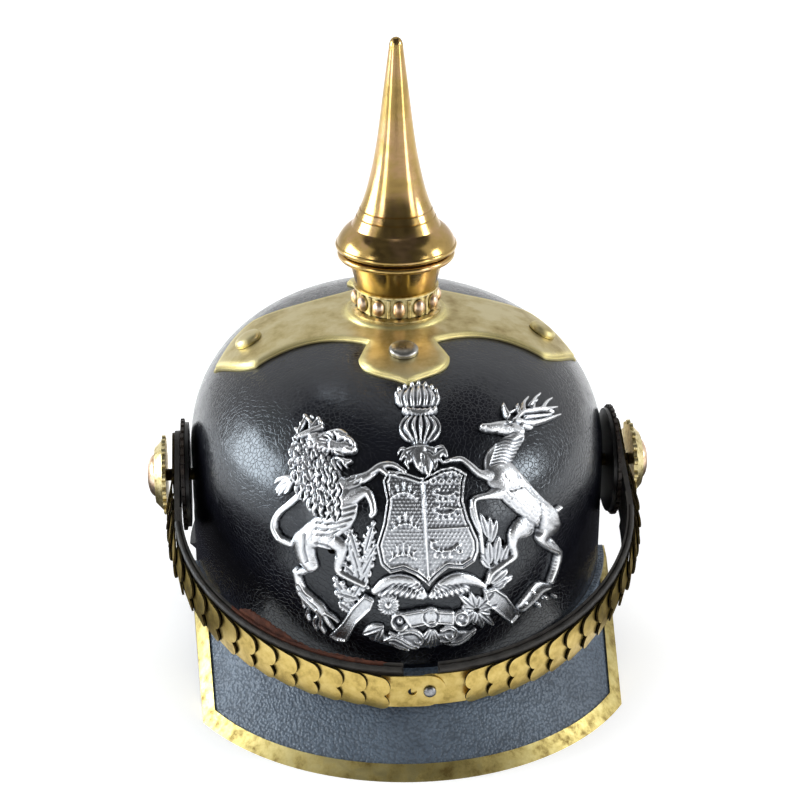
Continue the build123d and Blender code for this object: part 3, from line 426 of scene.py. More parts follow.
def second_finish(node, other, chosen):
    """Gives the faces that chosen picks by their centre another finish than the rest of the node."""
    mesh = nodes[node].data
    mesh.materials.append(other)
    centres = np.empty(len(mesh.polygons) * 3)
    mesh.polygons.foreach_get("center", centres)
    before = np.empty(len(mesh.polygons), np.int32)
    mesh.polygons.foreach_get("material_index", before)
    picked = chosen(centres.reshape(-1, 3) / mm)
    mesh.polygons.foreach_set("material_index",
                              np.where(picked, len(mesh.materials) - 1, before).astype(np.int32))
    mesh.update()


# The stud in front is silvered, the other three are brass
nodes["cross_studs"].data.materials[0] = finishes["matte_brass"]
second_finish("cross_studs", silver_stud, lambda spot: spot[:, 1] < -30)

nodes["pearl_ring"].data.materials[0] = pale_gilt
pearl_middle = (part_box("pearl_ring")[0][2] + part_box("pearl_ring")[1][2]) / 2 / mm
pearl_pitch, pearl_circle, pearl_foot = 30, 17.5, 16.95  # degrees, and radii in mm
pearl_half_width, pearl_half_height = 2.7, 3.6


def on_pearls(spot):
    """Faces within one of the oval pearls round the ring's waist."""
    swing = np.degrees(np.arctan2(spot[:, 1], spot[:, 0]))
    across = np.radians(np.abs((swing + pearl_pitch / 2) % pearl_pitch - pearl_pitch / 2)) * pearl_circle
    oval = (across / pearl_half_width) ** 2 + ((spot[:, 2] - pearl_middle) / pearl_half_height) ** 2 < 1
    return oval & (np.hypot(spot[:, 0], spot[:, 1]) > pearl_foot)


second_finish("pearl_ring", rose_gilt, on_pearls)

# Rosettes: pale rays, a rose button in front of them and a back dark with tarnish and painted shade, by their
# sizes in mm
post_y, post_z = -17.0, 76.0
button_radius, button_back, rosette_back = 9.6, 102.5, 101.9
for name in ("rosette_left", "rosette_right"):
    nodes[name].data.materials[0] = pale_gilt
    second_finish(name, rose_gilt,
                  lambda spot: (np.hypot(spot[:, 1] - post_y, spot[:, 2] - post_z) < button_radius)
                  & (np.abs(spot[:, 0]) > button_back))
    second_finish(name, tarnish_and_shade, lambda spot: np.abs(spot[:, 0]) < rosette_back)

# Chinscales: the loop in its own plane through both posts, 22 degrees down to the front
loop_foot = np.array([0, post_y, post_z])
loop_slope = math.radians(22)
loop_ahead = np.array([0, -math.cos(loop_slope), -math.sin(loop_slope)])
loop_up = np.array([0, -math.sin(loop_slope), math.cos(loop_slope)])
loop_side, loop_front, loop_straight, loop_lean = 96.0, 116.5, 30.0, math.radians(15)
rim_facing = 0.42  # a scale's face that looks less than this outward is its cut edge


def scale_rims(spot, facing):
    """Faces on the cut edges of the scales, which look across the loop's own outward direction."""
    away = spot - loop_foot
    ahead, side = away @ loop_ahead, away[:, 0]
    bend = ahead > loop_straight
    out_side = np.where(bend, side / loop_side ** 2, np.sign(side))
    out_ahead = np.where(bend, (ahead - loop_straight) / (loop_front - loop_straight) ** 2, 0)
    outward = out_side[:, None] * np.array([1, 0, 0]) + out_ahead[:, None] * loop_ahead
    outward /= np.linalg.norm(outward, axis=1)[:, None]
    return np.abs((outward * facing).sum(1)) < rim_facing


# The scales' cut edges take the dark finish: tarnish, and a painted shade line along each scale's edge
for name in ("scales_left", "scales_right"):
    facing = np.empty(len(nodes[name].data.polygons) * 3)
    nodes[name].data.polygons.foreach_get("normal", facing)
    second_finish(name, tarnish_and_shade, lambda spot: scale_rims(spot, facing.reshape(-1, 3)))
# The red suede shows only in front, left of the button; elsewhere it is as black as the strap
red_end, red_back = -14, -97
for name in ("strap_lining_left", "strap_lining_right"):
    second_finish(name, finishes["strap_leather"],
                  lambda spot: (spot[:, 0] > red_end) | (spot[:, 1] > red_back))

strap_root, strap_run = -10.5, 132  # where the strap starts, and its length along the loop's own ahead


def on_loop(swing, level, height):
    """A point of the bend by its swing from the side, its level off the strap's inner face and its height."""
    side = (loop_side + level) * math.cos(swing)
    ahead = loop_straight + (loop_front + level - loop_straight
                             - height * math.tan(loop_lean)) * math.sin(swing)
    return loop_foot + np.array([side, 0, 0]) + ahead * loop_ahead + height * loop_up


def strap_edge(swing):
    """Height of the strap's upper edge on the bend, where its half width narrows from 11.5 to 8.5 mm."""
    ahead = loop_straight + (loop_front - loop_straight) * math.sin(swing)
    return 11.5 - 3 * (ahead - strap_root) / strap_run


def loop_grid(name, count, across, spot_of):
    """A grid of count by across cells, whose corners stand in mm where spot_of puts a step and a row."""
    made = primitive(name, bpy.ops.mesh.primitive_grid_add, x_subdivisions=count, y_subdivisions=across,
                     size=0.1)
    spots = [spot_of(step, row) for row in range(across + 1) for step in range(count + 1)]
    made.data.vertices.foreach_set("co", (np.array(spots) * mm).astype(np.float32).ravel())
    made.data.update()
    return made


def torn_suede():
    """A strip of the suede lining that has come loose and stands up behind the strap, torn along its top."""
    count, across = 96, 8

    def spot_of(step, row):
        swing = math.radians(36 + 46 * step / count)
        tear = np.interp(step / count, [0, 0.08, 0.11, 0.16, 0.24, 0.33, 0.42, 0.5, 0.6, 0.75, 1],
                         [-1.5, -1.2, 2.4, 4.4, 4.9, 4.2, 3.0, 1.5, 0.9, 1.3, 0.8])
        tear += 0.22 * math.sin(step * 0.83) * math.sin(step * 2.7) + 0.14 * math.sin(step * 1.9 + 1)
        rise = row / across
        height = 2 + rise * (strap_edge(swing) + tear - 2)
        level = -1.2 - 0.9 * rise ** 2 * max(tear, 0) / 5 + 0.22 * math.sin(step * 0.6) * rise
        return on_loop(swing, level, height) * [-1, 1, 1]

    made = loop_grid("torn_suede", count, across, spot_of)
    thick = made.modifiers.new("thickness", "SOLIDIFY")
    thick.thickness = 0.7 * mm
    thick.offset = 0
    bpy.ops.object.modifier_apply(modifier="thickness")
    bpy.ops.object.shade_smooth_by_angle(angle=math.radians(50))
    made.data.materials.append(finishes["suede"])
    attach(made, "chinscales")


def rolled_edge(name, hand):
    """The strap's upper edge, where the leather is rolled over into a bead."""
    count, around = 90, 12

    def spot_of(step, turn):
        angle = turn * math.tau / around
        swing = math.radians(4 + 81.5 * step / count)
        bead = 1.28 + 0.07 * math.sin(step * 0.9) + 0.05 * math.sin(step * 2.3)
        spot = on_loop(swing, 1.1 + bead * math.cos(angle), strap_edge(swing) - 0.3 + bead * math.sin(angle))
        return spot * [hand, 1, 1]

    made = loop_grid(name, count, around, spot_of)
    mode("EDIT")
    bpy.ops.mesh.select_all(action="SELECT")
    bpy.ops.mesh.remove_doubles(threshold=0.01 * mm)
    bpy.ops.mesh.select_mode(type="EDGE")
    bpy.ops.mesh.select_all(action="DESELECT")
    bpy.ops.mesh.select_non_manifold()
    bpy.ops.mesh.fill()
    bpy.ops.mesh.select_all(action="SELECT")
    bpy.ops.mesh.normals_make_consistent(inside=False)
    mode("OBJECT")
    bpy.ops.object.shade_smooth_by_angle(angle=math.radians(60))
    made.data.materials.append(finishes["strap_leather"])
    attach(made, "chinscales")


torn_suede()
rolled_edge("rolled_edge_left", -1)
rolled_edge("rolled_edge_right", 1)

# Relief plate: its strokes are placed on two working drawings, L and R of the shield's middle, and carried
# along the camera's rays on to the skull. Outlines are in pixels of the photograph's frame, u and v in a
# drawing's own units, and heights in millimetres off the skull
draw_scale = 5.81  # units to a pixel
L = (262.0, 380.0)
R = (410.0, 380.0)
frame_side = 800
optic_reach = frame_side * camera_data.lens / camera_data.sensor_width
optic_column = frame_side * (0.5 - camera_data.shift_x)
optic_row = frame_side * 0.5
cell = 0.8  # of a pixel
metal_start, thin_metal, thick_metal, thinnest_stroke = 0.3, 0.35, 4.2, 3
sunk_edge = -0.25  # the metal's outermost row of cells goes this far into the skull
columns = np.arange(266, 572, cell)
rows = np.arange(652, 383, -cell)
grid_x, grid_y = np.meshgrid(columns, rows)
relief = np.zeros_like(grid_x)


def on_sheet(sheet, u, v):
    """The pixel place of a spot on one of the drawings."""
    return sheet[0] + u / draw_scale, sheet[1] + v / draw_scale


def near(x0, y0, x1, y1, room):
    """The block of cells within room of a segment, and their distance from it and share along it."""
    left = max(int((min(x0, x1) - room - columns[0]) / cell), 0)
    low = max(int((rows[0] - max(y0, y1) - room) / cell), 0)
    right = max(int((max(x0, x1) + room - columns[0]) / cell) + 2, 0)
    high = max(int((rows[0] - min(y0, y1) + room) / cell) + 2, 0)
    block = (slice(low, high), slice(left, right))
    dx, dy = x1 - x0, y1 - y0
    away_x, away_y = grid_x[block] - x0, grid_y[block] - y0
    share = np.clip((away_x * dx + away_y * dy) / max(dx * dx + dy * dy, 1e-9), 0, 1)
    return block, np.hypot(away_x - share * dx, away_y - share * dy), share


def flowing(points, steps=5):
    """The same points joined by a smooth curve."""
    spots = np.array(points, float)
    if len(spots) < 3:
        return spots
    whole = np.vstack([2 * spots[0] - spots[1], spots, 2 * spots[-1] - spots[-2]])
    made = []
    for before, first, second, after in zip(whole, whole[1:], whole[2:], whole[3:]):
        for t in np.arange(steps) / steps:
            made.append(0.5 * (2 * first + (second - before) * t
                               + (2 * before - 5 * first + 4 * second - after) * t ** 2
                               + (3 * first - before - 3 * second + after) * t ** 3))
    return np.array(made + [spots[-1]])


def limb(sheet, height, *points, edge=0.7):
    """A rounded form through points of (u, v, half width), height millimetres at its ridge."""
    line = flowing(points)
    for (u0, v0, r0), (u1, v1, r1) in zip(line, line[1:] if len(line) > 1 else line):
        r0, r1 = max(r0, thinnest_stroke) / draw_scale, max(r1, thinnest_stroke) / draw_scale
        block, gap, share = near(*on_sheet(sheet, u0, v0), *on_sheet(sheet, u1, v1), max(r0, r1))
        wide = r0 + share * (r1 - r0)
        level = edge + (height - edge) * np.sqrt(np.clip(1 - (gap / wide) ** 2, 0, 1))
        relief[block] = np.maximum(relief[block], np.where(gap < wide, level, 0))


def crease(sheet, depth, half, *points):
    """A groove, or with a negative depth a ridge, along points of (u, v) where the plate already is."""
    line = flowing(points)
    cut = np.zeros_like(relief)
    for (u0, v0), (u1, v1) in zip(line, line[1:]):
        block, gap, _ = near(*on_sheet(sheet, u0, v0), *on_sheet(sheet, u1, v1), 2.5 * half / draw_scale)
        cut[block] = np.maximum(cut[block], np.exp(-((gap * draw_scale / half) ** 2)))
    relief[:] = np.where(relief > metal_start, np.clip(relief - depth * cut, thin_metal, thick_metal), relief)


def leaf(sheet, u0, v0, u1, v1, wide, height, lobed=False):
    """A leaf with a midrib from its foot to its tip, pointed or with an oak leaf's lobes."""
    spots = [(u0 + (u1 - u0) * s, v0 + (v1 - v0) * s, wide * w)
             for s, w in [(0, 0.35), (0.3, 0.9), (0.55, 1.0), (0.8, 0.6), (1, 0.12)]]
    if lobed:
        spots = [(u, v, 0.8 * half) for u, v, half in spots]
        run = math.hypot(u1 - u0, v1 - v0)
        for s, out in [(0.18, 0.5), (0.25, -0.55), (0.45, 0.75), (0.54, -0.75), (0.75, 0.5), (0.82, -0.45),
                       (1, 0)]:
            limb(sheet, height, (u0 + (u1 - u0) * s - (v1 - v0) / run * wide * out,
                                 v0 + (v1 - v0) * s + (u1 - u0) / run * wide * out, 0.52 * wide))
    limb(sheet, height, *spots)
    crease(sheet, 0.8, 4, (u0, v0), (u1, v1))


def inside(outline):
    """Which cells lie inside an outline of pixel places."""
    found = np.zeros(grid_x.shape, bool)
    for (x0, y0), (x1, y1) in zip(outline, outline[1:] + outline[:1]):
        if y0 != y1:
            spans = (y0 > grid_y) != (y1 > grid_y)
            found ^= spans & (grid_x < x0 + (x1 - x0) * (grid_y - y0) / (y1 - y0))
    return found


def edge_gap(outline):
    """Distance of every cell from an outline."""
    gap = np.full(grid_x.shape, 1e9)
    for (x0, y0), (x1, y1) in zip(outline, outline[1:] + outline[:1]):
        block, side_gap, _ = near(x0, y0, x1, y1, frame_side)
        gap[block] = np.minimum(gap[block], side_gap)
    return gap


def panel(outline, height, rim, half=1.4):
    """A flat panel with a raised rim."""
    gap = edge_gap(outline)
    level = height + rim * np.exp(-(((gap - half) / (0.7 * half)) ** 2))
    np.maximum(relief, np.where(inside(outline), level, 0), out=relief)


# Leaf sprays, each leaf by its foot, its tip and its width, and the wings, which lie lowest
for ends in [
    (590, 1180, 500, 880, 42), (600, 1000, 650, 830, 34), (560, 1010, 520, 870, 30),
    (600, 1060, 660, 960, 34), (560, 1180, 640, 1020, 40), (620, 1200, 480, 1060, 36),
    (540, 1300, 430, 1150, 36), (560, 1260, 440, 1230, 34), (520, 1330, 460, 1290, 28),
    (590, 1200, 560, 1100, 36), (540, 1240, 600, 1140, 34),
]:
    leaf(L, *ends, 1.9, lobed=True)
for ends in [
    (440, 900, 400, 770, 26), (455, 920, 455, 790, 24), (465, 930, 495, 810, 24),
    (440, 1060, 410, 950, 26), (460, 1050, 450, 930, 26), (490, 1050, 510, 900, 28),
    (520, 1050, 560, 950, 26), (450, 1080, 410, 1030, 24), (470, 1170, 560, 1095, 26),
    (480, 1190, 590, 1135, 24), (460, 1090, 540, 1060, 22), (500, 1200, 540, 1170, 24),
]:
    leaf(R, *ends, 1.9)
for points in [
    [(660, 1215, 26), (720, 1170, 34), (800, 1155, 36), (880, 1175, 34), (940, 1240, 22)],
    [(690, 1240, 18), (760, 1210, 30), (840, 1230, 34), (930, 1250, 20)],
]:
    limb(L, 2.6, *points)
for points in [
    [(120, 1245, 20), (190, 1185, 36), (270, 1150, 40), (350, 1155, 32), (420, 1185, 20)],
    [(150, 1250, 16), (230, 1225, 30), (320, 1200, 28)],
]:
    limb(R, 2.6, *points)
for u in range(700, 930, 34):
    crease(L, 0.9, 6, (u - 20, 1262), (u + 6, 1215), (u + 66, 1172))
for u in range(140, 400, 34):
    crease(R, 0.9, 6, (u + 22, 1258), (u - 2, 1212), (u - 58, 1180))

# Bare ribbons, the two flowers, the scrolls and the ring clasps below
for sheet, height, rim, spots in [
    (L, 2.3, 0.8, [(600, 1232), (660, 1262), (640, 1320), (560, 1400), (500, 1510), (440, 1500), (400, 1470),
                   (470, 1400), (530, 1310)]),
    (L, 2.4, 0.7, [(800, 1340), (925, 1318), (1000, 1322), (1110, 1330), (1108, 1408), (980, 1400),
                   (860, 1425)]),
    (R, 2.4, 0.7, [(415, 1210), (480, 1195), (545, 1240), (620, 1350), (570, 1410), (500, 1350),
                   (430, 1290)]),
]:
    panel([on_sheet(sheet, *spot) for spot in spots], height, rim)
for turn in range(16):
    angle = turn * math.tau / 16
    leaf(L, 735 + 14 * math.cos(angle), 1300 + 14 * math.sin(angle),
         735 + 66 * math.cos(angle), 1300 + 66 * math.sin(angle), 14, 2.3)
limb(L, 3.0, (735, 1300, 26))
for turn in range(12):
    angle = turn * math.tau / 12 + 0.2
    far = 84 + 24 * ((turn * 5) % 3)
    leaf(R, 380 + 24 * math.cos(angle), 1330 + 20 * math.sin(angle),
         380 + far * math.cos(angle), 1330 + far * math.sin(angle), 24, 2.0)
limb(L, 1.2, (640, 1492, 16), (740, 1508, 30), (880, 1512, 40), (1000, 1505, 38), (1120, 1480, 28),
     (1190, 1462, 12))
for ends in [
    (700, 1425, 588, 1468, 38), (700, 1436, 670, 1512, 26), (980, 1448, 946, 1545, 17),
    (986, 1450, 974, 1556, 17), (992, 1450, 1004, 1552, 17), (998, 1446, 1030, 1524, 17),
    (972, 1442, 926, 1512, 17), (1150, 1500, 1236, 1452, 18), (1120, 1512, 1204, 1492, 16),
]:
    leaf(L, *ends, 2.0)
for points in [
    [(716, 1506, 8), (766, 1488, 18), (814, 1508, 21), (862, 1536, 19), (905, 1545, 9)],
    [(800, 1462, 12), (860, 1446, 18), (904, 1460, 18), (930, 1494, 15), (918, 1522, 12), (892, 1516, 8)],
    [(748, 1518, 8), (796, 1540, 14), (850, 1560, 7)], [(744, 1462, 10), (776, 1478, 14), (812, 1482, 9)],
    [(1040, 1446, 12), (1082, 1426, 17), (1116, 1446, 17), (1110, 1486, 15), (1076, 1500, 11),
     (1056, 1482, 8)],
    [(1036, 1512, 9), (1104, 1522, 17), (1158, 1504, 17), (1200, 1468, 12), (1232, 1440, 6)],
]:
    limb(L, 2.3, *points)
    crease(L, 0.7, 4, *[spot[:2] for spot in points])
for sheet, u, v, outer, hole in [(L, 802, 1392, 56, 26), (R, 118, 1365, 58, 40), (R, 290, 1372, 46, 0)]:
    x, y = on_sheet(sheet, u, v)
    gap = np.hypot(grid_x - x, grid_y - y) * draw_scale
    band = 1.6 + 1.2 * np.exp(-(((gap - outer + 9) / 9) ** 2)) + 0.9 * np.exp(-((gap / 14) ** 2))
    np.maximum(relief, np.where(gap < outer, band, 0), out=relief)
    if hole:
        crease(sheet, 0.8, 6, *[(u + hole * math.cos(a / 4), v + hole * math.sin(a / 4)) for a in range(26)])

# Ground under the hooves and paws
limb(R, 2.2, (790, 1195, 20), (740, 1205, 38), (690, 1262, 38), (640, 1312, 32))
for u, v, wide in [(770, 1258, 16), (730, 1300, 20), (822, 1250, 13), (700, 1225, 15), (660, 1290, 14)]:
    limb(R, 2.8, (u, v, wide))

# Lion
limb(L, 2.6, (180, 945, 20), (112, 912, 21), (80, 842, 19), (108, 772, 19), (178, 712, 19), (240, 652, 19),
     (236, 604, 19), (186, 574, 22), (150, 590, 30), (122, 628, 20), (106, 655, 8))
for points in [
    [(186, 578, 12), (150, 566, 14), (112, 590, 6)], [(180, 586, 12), (138, 600, 13), (100, 640, 5)],
    [(176, 600, 12), (146, 632, 12), (118, 668, 5)], [(190, 592, 10), (170, 634, 10), (150, 660, 5)],
    [(160, 570, 10), (118, 574, 10), (96, 604, 4)],
]:
    limb(L, 3.0, *points)
crease(L, 0.6, 5, (112, 912), (80, 842), (108, 772), (178, 712), (236, 652))
limb(L, 3.3, (470, 690, 95), (450, 790, 95), (330, 880, 80), (250, 930, 66))
limb(L, 3.0, (340, 900, 66), (455, 955, 42), (462, 1010, 34), (450, 1090, 24), (500, 1130, 20),
     (600, 1180, 18))
limb(L, 3.1, (250, 930, 68), (262, 1010, 56), (296, 1075, 40))
limb(L, 2.7, (300, 1080, 30), (262, 1100, 24), (218, 1112, 22))
limb(L, 2.9, (212, 1105, 26), (222, 1160, 22), (240, 1215, 28), (284, 1268, 34), (330, 1312, 38),
     (362, 1348, 34))
for points in [
    [(345, 1340, 16), (318, 1392, 14), (332, 1440, 7)], [(362, 1352, 16), (352, 1412, 14), (378, 1458, 7)],
    [(372, 1352, 15), (396, 1398, 13), (424, 1430, 6)], [(300, 1300, 12), (276, 1340, 12), (290, 1388, 6)],
    [(380, 1340, 13), (424, 1366, 11), (452, 1392, 6)], [(250, 1262, 10), (262, 1310, 8)],
]:
    limb(L, 2.8, *points)
for points in [
    [(236, 1215), (282, 1268), (330, 1312)], [(228, 1180), (262, 1232), (300, 1262)],
    [(300, 1330), (330, 1352)],
]:
    crease(L, 0.7, 6, *points)
limb(L, 3.1, (430, 640, 70), (545, 592, 42), (620, 560, 30), (690, 508, 24), (760, 500, 20), (830, 540, 14))
limb(L, 2.9, (690, 520, 22), (740, 555, 16), (800, 545, 12))
limb(L, 3.3, (490, 700, 58), (600, 650, 34), (640, 700, 26), (652, 760, 24), (640, 785, 18))
for v, start, end in [(742, 350, 548), (776, 340, 540), (810, 335, 528), (844, 330, 500), (876, 340, 460)]:
    crease(L, 0.7, 5, (start, v + 8), ((start + end) / 2, v + 14), (end, v - 10))
crease(L, 1.0, 8, (268, 890), (262, 960), (280, 1040))
crease(L, 0.8, 8, (330, 940), (400, 960), (440, 1010))
limb(L, 3.2, (300, 400, 70), (330, 500, 92), (380, 600, 100), (420, 680, 74))
for ring, far in enumerate((78, 112, 146, 180, 214, 248, 282)):
    for turn in range(8 + 2 * ring):
        swing = math.radians(76 + 118 * (turn + 0.37 * (ring % 3)) / (8 + 2 * ring))
        u0, v0 = 408 + far * 0.74 * math.cos(swing), 404 + far * 1.16 * math.sin(swing)
        stray = math.sin(5.1 * turn + 2.7 * ring)
        u0, v0 = u0 + 7 * stray, v0 + 9 * math.sin(3.3 * turn + ring)
        sway = 13 if (turn + ring) % 2 else -11
        u1, v1 = u0 + 16 * math.cos(swing) - 4 + 7 * (turn % 3), v0 + 50 + 18 * math.sin(swing) + 12 * stray
        limb(L, 3.7, (u0, v0, 7), ((u0 + u1) / 2 + sway, (v0 + v1) / 2, 11), (u1, v1, 3), edge=2.2)
        crease(L, 1.3, 4.5, (u0 + 11, v0 + 4), ((u0 + u1) / 2 + sway + 12, (v0 + v1) / 2), (u1 + 8, v1))
limb(L, 3.3, (330, 370, 58), (400, 374, 68), (455, 380, 64), (500, 392, 52), (524, 408, 36))
limb(L, 3.7, (462, 342, 20), (512, 362, 24), (538, 386, 20))
limb(L, 3.8, (504, 418, 30), (528, 424, 22))
limb(L, 3.1, (440, 452, 34), (490, 482, 22), (520, 480, 14))
for points in [
    [(420, 478, 16), (436, 522, 7)], [(450, 486, 15), (470, 524, 6)], [(482, 494, 12), (504, 520, 5)],
]:
    limb(L, 3.3, *points)
limb(L, 3.6, (405, 330, 26), (455, 322, 28), (490, 336, 22))
limb(L, 3.5, (300, 345, 26), (330, 335, 20))
crease(L, -0.6, 10, (345, 395), (375, 405), (405, 415))
crease(L, 1.3, 8, (430, 360), (455, 372), (480, 365))
crease(L, 2.2, 7, (430, 446), (488, 456), (545, 446))
for turn in range(9):
    angle = math.radians(105 + 21 * turn)
    around, away = math.cos(angle), math.sin(angle)
    crease(L, 1.1, 4.5, (432 + 38 * around, 392 + 34 * away), (428 + 62 * around, 396 + 56 * away),
           (424 + 88 * around, 406 + 76 * away))
crease(L, 1.0, 9, (400, 430), (440, 470), (470, 500))
for u, v in [(505, 372), (520, 395), (430, 345), (380, 350), (420, 440), (350, 430)]:
    crease(L, 1.0, 6, (u, v), (u + 8, v + 4))
limb(L, 3.4, (232, 338, 17), (295, 312, 20), (352, 288, 17))
for u, v, wide in [(212, 302, 14), (262, 228, 16), (338, 243, 15), (356, 266, 12), (240, 270, 13),
                   (300, 232, 12)]:
    limb(L, 3.4, (u, v, wide))
for points in [
    [(222, 318, 13), (250, 262, 13), (264, 236, 10)], [(292, 305, 14), (290, 262, 14), (268, 234, 10)],
    [(345, 285, 13), (345, 258, 13)], [(296, 300, 12), (322, 262, 13), (338, 246, 10)],
]:
    limb(L, 3.0, *points)

# Stag
limb(R, 3.2, (412, 284, 17), (455, 288, 27), (520, 285, 38), (580, 292, 44), (625, 310, 32))
limb(R, 3.0, (560, 220, 16), (545, 195, 13), (530, 155, 5))
for points in [
    [(600, 245, 19), (660, 258, 19), (720, 256, 18), (790, 236, 15), (852, 214, 7)],
    [(605, 240, 16), (640, 205, 17), (700, 190, 18), (770, 182, 16), (812, 200, 11)],
    [(628, 215, 14), (612, 160, 7)], [(650, 205, 15), (648, 150, 12), (672, 118, 7)],
    [(700, 190, 15), (708, 132, 13), (740, 96, 7)], [(750, 184, 14), (780, 140, 11), (806, 122, 6)],
    [(690, 150, 12), (724, 130, 8)], [(780, 180, 12), (834, 172, 7)], [(640, 275, 14), (692, 290, 8)],
    [(570, 205, 11), (600, 190, 7)], [(660, 230, 14), (740, 222, 12), (800, 214, 8)],
]:
    limb(R, 2.8, *points)
limb(R, 3.2, (610, 340, 46), (560, 400, 62), (510, 470, 82), (520, 560, 88))
for index, v in enumerate(range(360, 500, 19)):
    lean = index * 12
    crease(R, 1.2, 6, (500 - lean / 2, v + 8), (545 - lean / 2, v - 4), (590 - lean / 3, v + 10),
           (640 - lean / 3, v - 6))
limb(R, 3.6, (530, 560, 92), (600, 640, 92), (690, 730, 84), (770, 790, 76), (800, 830, 58))
limb(R, 2.6, (838, 752, 16), (855, 738, 14))
limb(R, 3.0, (470, 560, 44), (400, 548, 24), (345, 505, 20), (290, 468, 18), (235, 474, 15), (185, 490, 11))
limb(R, 2.9, (540, 650, 48), (440, 672, 24), (362, 698, 20), (372, 790, 15), (396, 870, 13), (410, 990, 15))
limb(R, 2.2, (352, 700, 14), (350, 780, 9), (400, 900, 9))
limb(R, 3.0, (650, 850, 62), (600, 890, 38), (585, 950, 25), (592, 1010, 22), (530, 1060, 18),
     (465, 1110, 17), (440, 1165, 15))
limb(R, 3.0, (790, 850, 56), (752, 920, 32), (800, 965, 26), (846, 1000, 20), (832, 1080, 17),
     (800, 1165, 16))
limb(R, 2.4, (800, 930, 20), (855, 990, 14))
crease(R, 0.7, 10, (735, 720), (740, 800), (730, 880))
crease(R, 0.6, 10, (560, 640), (620, 620), (610, 560))
crease(R, 0.7, 9, (700, 900), (740, 870), (735, 800))
for points in [
    [(650, 246), (720, 240), (800, 222)], [(650, 212), (710, 200), (780, 192)],
    [(690, 176), (712, 140), (728, 118)],
]:
    crease(R, 0.8, 5, *points)
crease(R, 0.9, 6, (430, 300), (470, 322), (500, 318))
crease(R, 1.2, 6, (536, 282), (556, 276), (572, 284))
crease(R, 1.0, 6, (545, 262), (565, 268), (585, 262))
crease(R, 0.5, 12, (640, 620), (700, 660), (770, 720))

# Fine strokes of fur over both animals
for index in range(46):
    u0, v0 = 520 + (index * 37) % 250, 560 + (index * 53) % 260
    crease(R, 0.32, 4, (u0, v0), (u0 + 14, v0 + 20), (u0 + 30, v0 + 32))
for index in range(34):
    u0, v0 = 262 + (index * 29) % 190, 760 + (index * 47) % 170
    crease(L, 0.35, 4, (u0, v0), (u0 - 8, v0 + 18), (u0 - 10, v0 + 34))
for index in range(16):
    u0, v0 = 460 + (index * 31) % 190, 545 + (index * 17) % 95
    crease(L, 0.5, 4, (u0, v0), (u0 + 18, v0 - 4), (u0 + 30, v0 - 12))

# Shield: a rim and a groove, three sprigs, three small beasts, lozenges, parting lines and a stippled ground
shield = [(388.5, 471.2), (382.8, 481.5), (386.6, 500.5), (383.3, 523), (376.8, 543.5), (380.8, 562.4),
          (390.2, 571), (403.1, 567.6), (415, 573), (428.1, 583.1), (438, 573), (447, 565.5), (461.6, 566.7),
          (473, 559), (476.8, 549), (476.3, 538.3), (466.8, 517.7), (462, 500.5), (463.2, 483.3),
          (465.9, 474.7), (452.2, 467.8), (439.3, 470.4), (422, 479), (406.6, 473.8)]
panel(shield, 1.6, 1.3, 1.3)
rim_gap = edge_gap(shield)
inner_rim = 0.9 * np.exp(-(((rim_gap - 4.6) / 0.9) ** 2))
groove = 0.7 * np.exp(-(((rim_gap - 3.0) / 0.8) ** 2))
relief += np.where(inside(shield), inner_rim - groove, 0)
field = inside(shield) & (rim_gap > 6)
# The real stipple is 2.6 pixels apart; it is drawn at 4, the finest that these cells hold
dot_pitch = 4.0
row_pitch = 0.87 * dot_pitch
row_number = np.round(grid_y / row_pitch)
aside = (grid_x / dot_pitch + (row_number % 2) / 2 + 0.5) % 1 - 0.5
dots = np.hypot(aside * dot_pitch, grid_y - row_number * row_pitch)
for u, v in [(820, 665), (830, 838), (818, 1008)]:
    crease(L, -0.9, 7, (u - 74, v + 30), (u - 34, v), (u + 24, v - 6), (u + 74, v + 24))
    for step, rise in [(-66, 40), (-34, 62), (4, 70), (40, 62), (68, 40)]:
        crease(L, -0.8, 5, (u + step * 0.7, v + abs(step) * 0.3), (u + step, v - rise + abs(step) * 0.3))


def beast(sheet, u, v, size):
    """A small walking animal, raised on the field."""
    shape = [[(-44, 2), (-10, 6), (38, -4)], [(34, -8), (50, -20), (62, -16)],
             [(-40, 4), (-52, 30), (-40, 34)], [(-22, 6), (-16, 32), (-6, 34)],
             [(20, 2), (14, 30), (24, 34)], [(36, -2), (54, 14), (66, 10)],
             [(-44, 0), (-66, -10), (-60, -34), (-46, -30)]]
    for line in shape:
        crease(sheet, -0.9, 7, *[(u + size * du, v + size * dv) for du, dv in line])


for v, size in [(668, 1.05), (770, 1.05), (975, 1.3)]:
    beast(R, 205, v, size)
for u in (130, 175, 220, 265):
    for v in (500, 545, 590):
        crease(R, -0.8, 6, (u - 14, v), (u, v - 15), (u + 14, v), (u, v + 15), (u - 14, v))
crease(R, -1.1, 8, (70, 575), (105, 1170))
crease(R, -0.7, 6, (200, 740), (290, 745))
crease(R, -0.8, 6, (110, 860), (330, 850))
bare = np.clip(1 - (relief - 1.62) / 0.2, 0, 1) * field
relief += bare * (0.45 * np.exp(-((dots / 0.9) ** 2)) - 0.12)

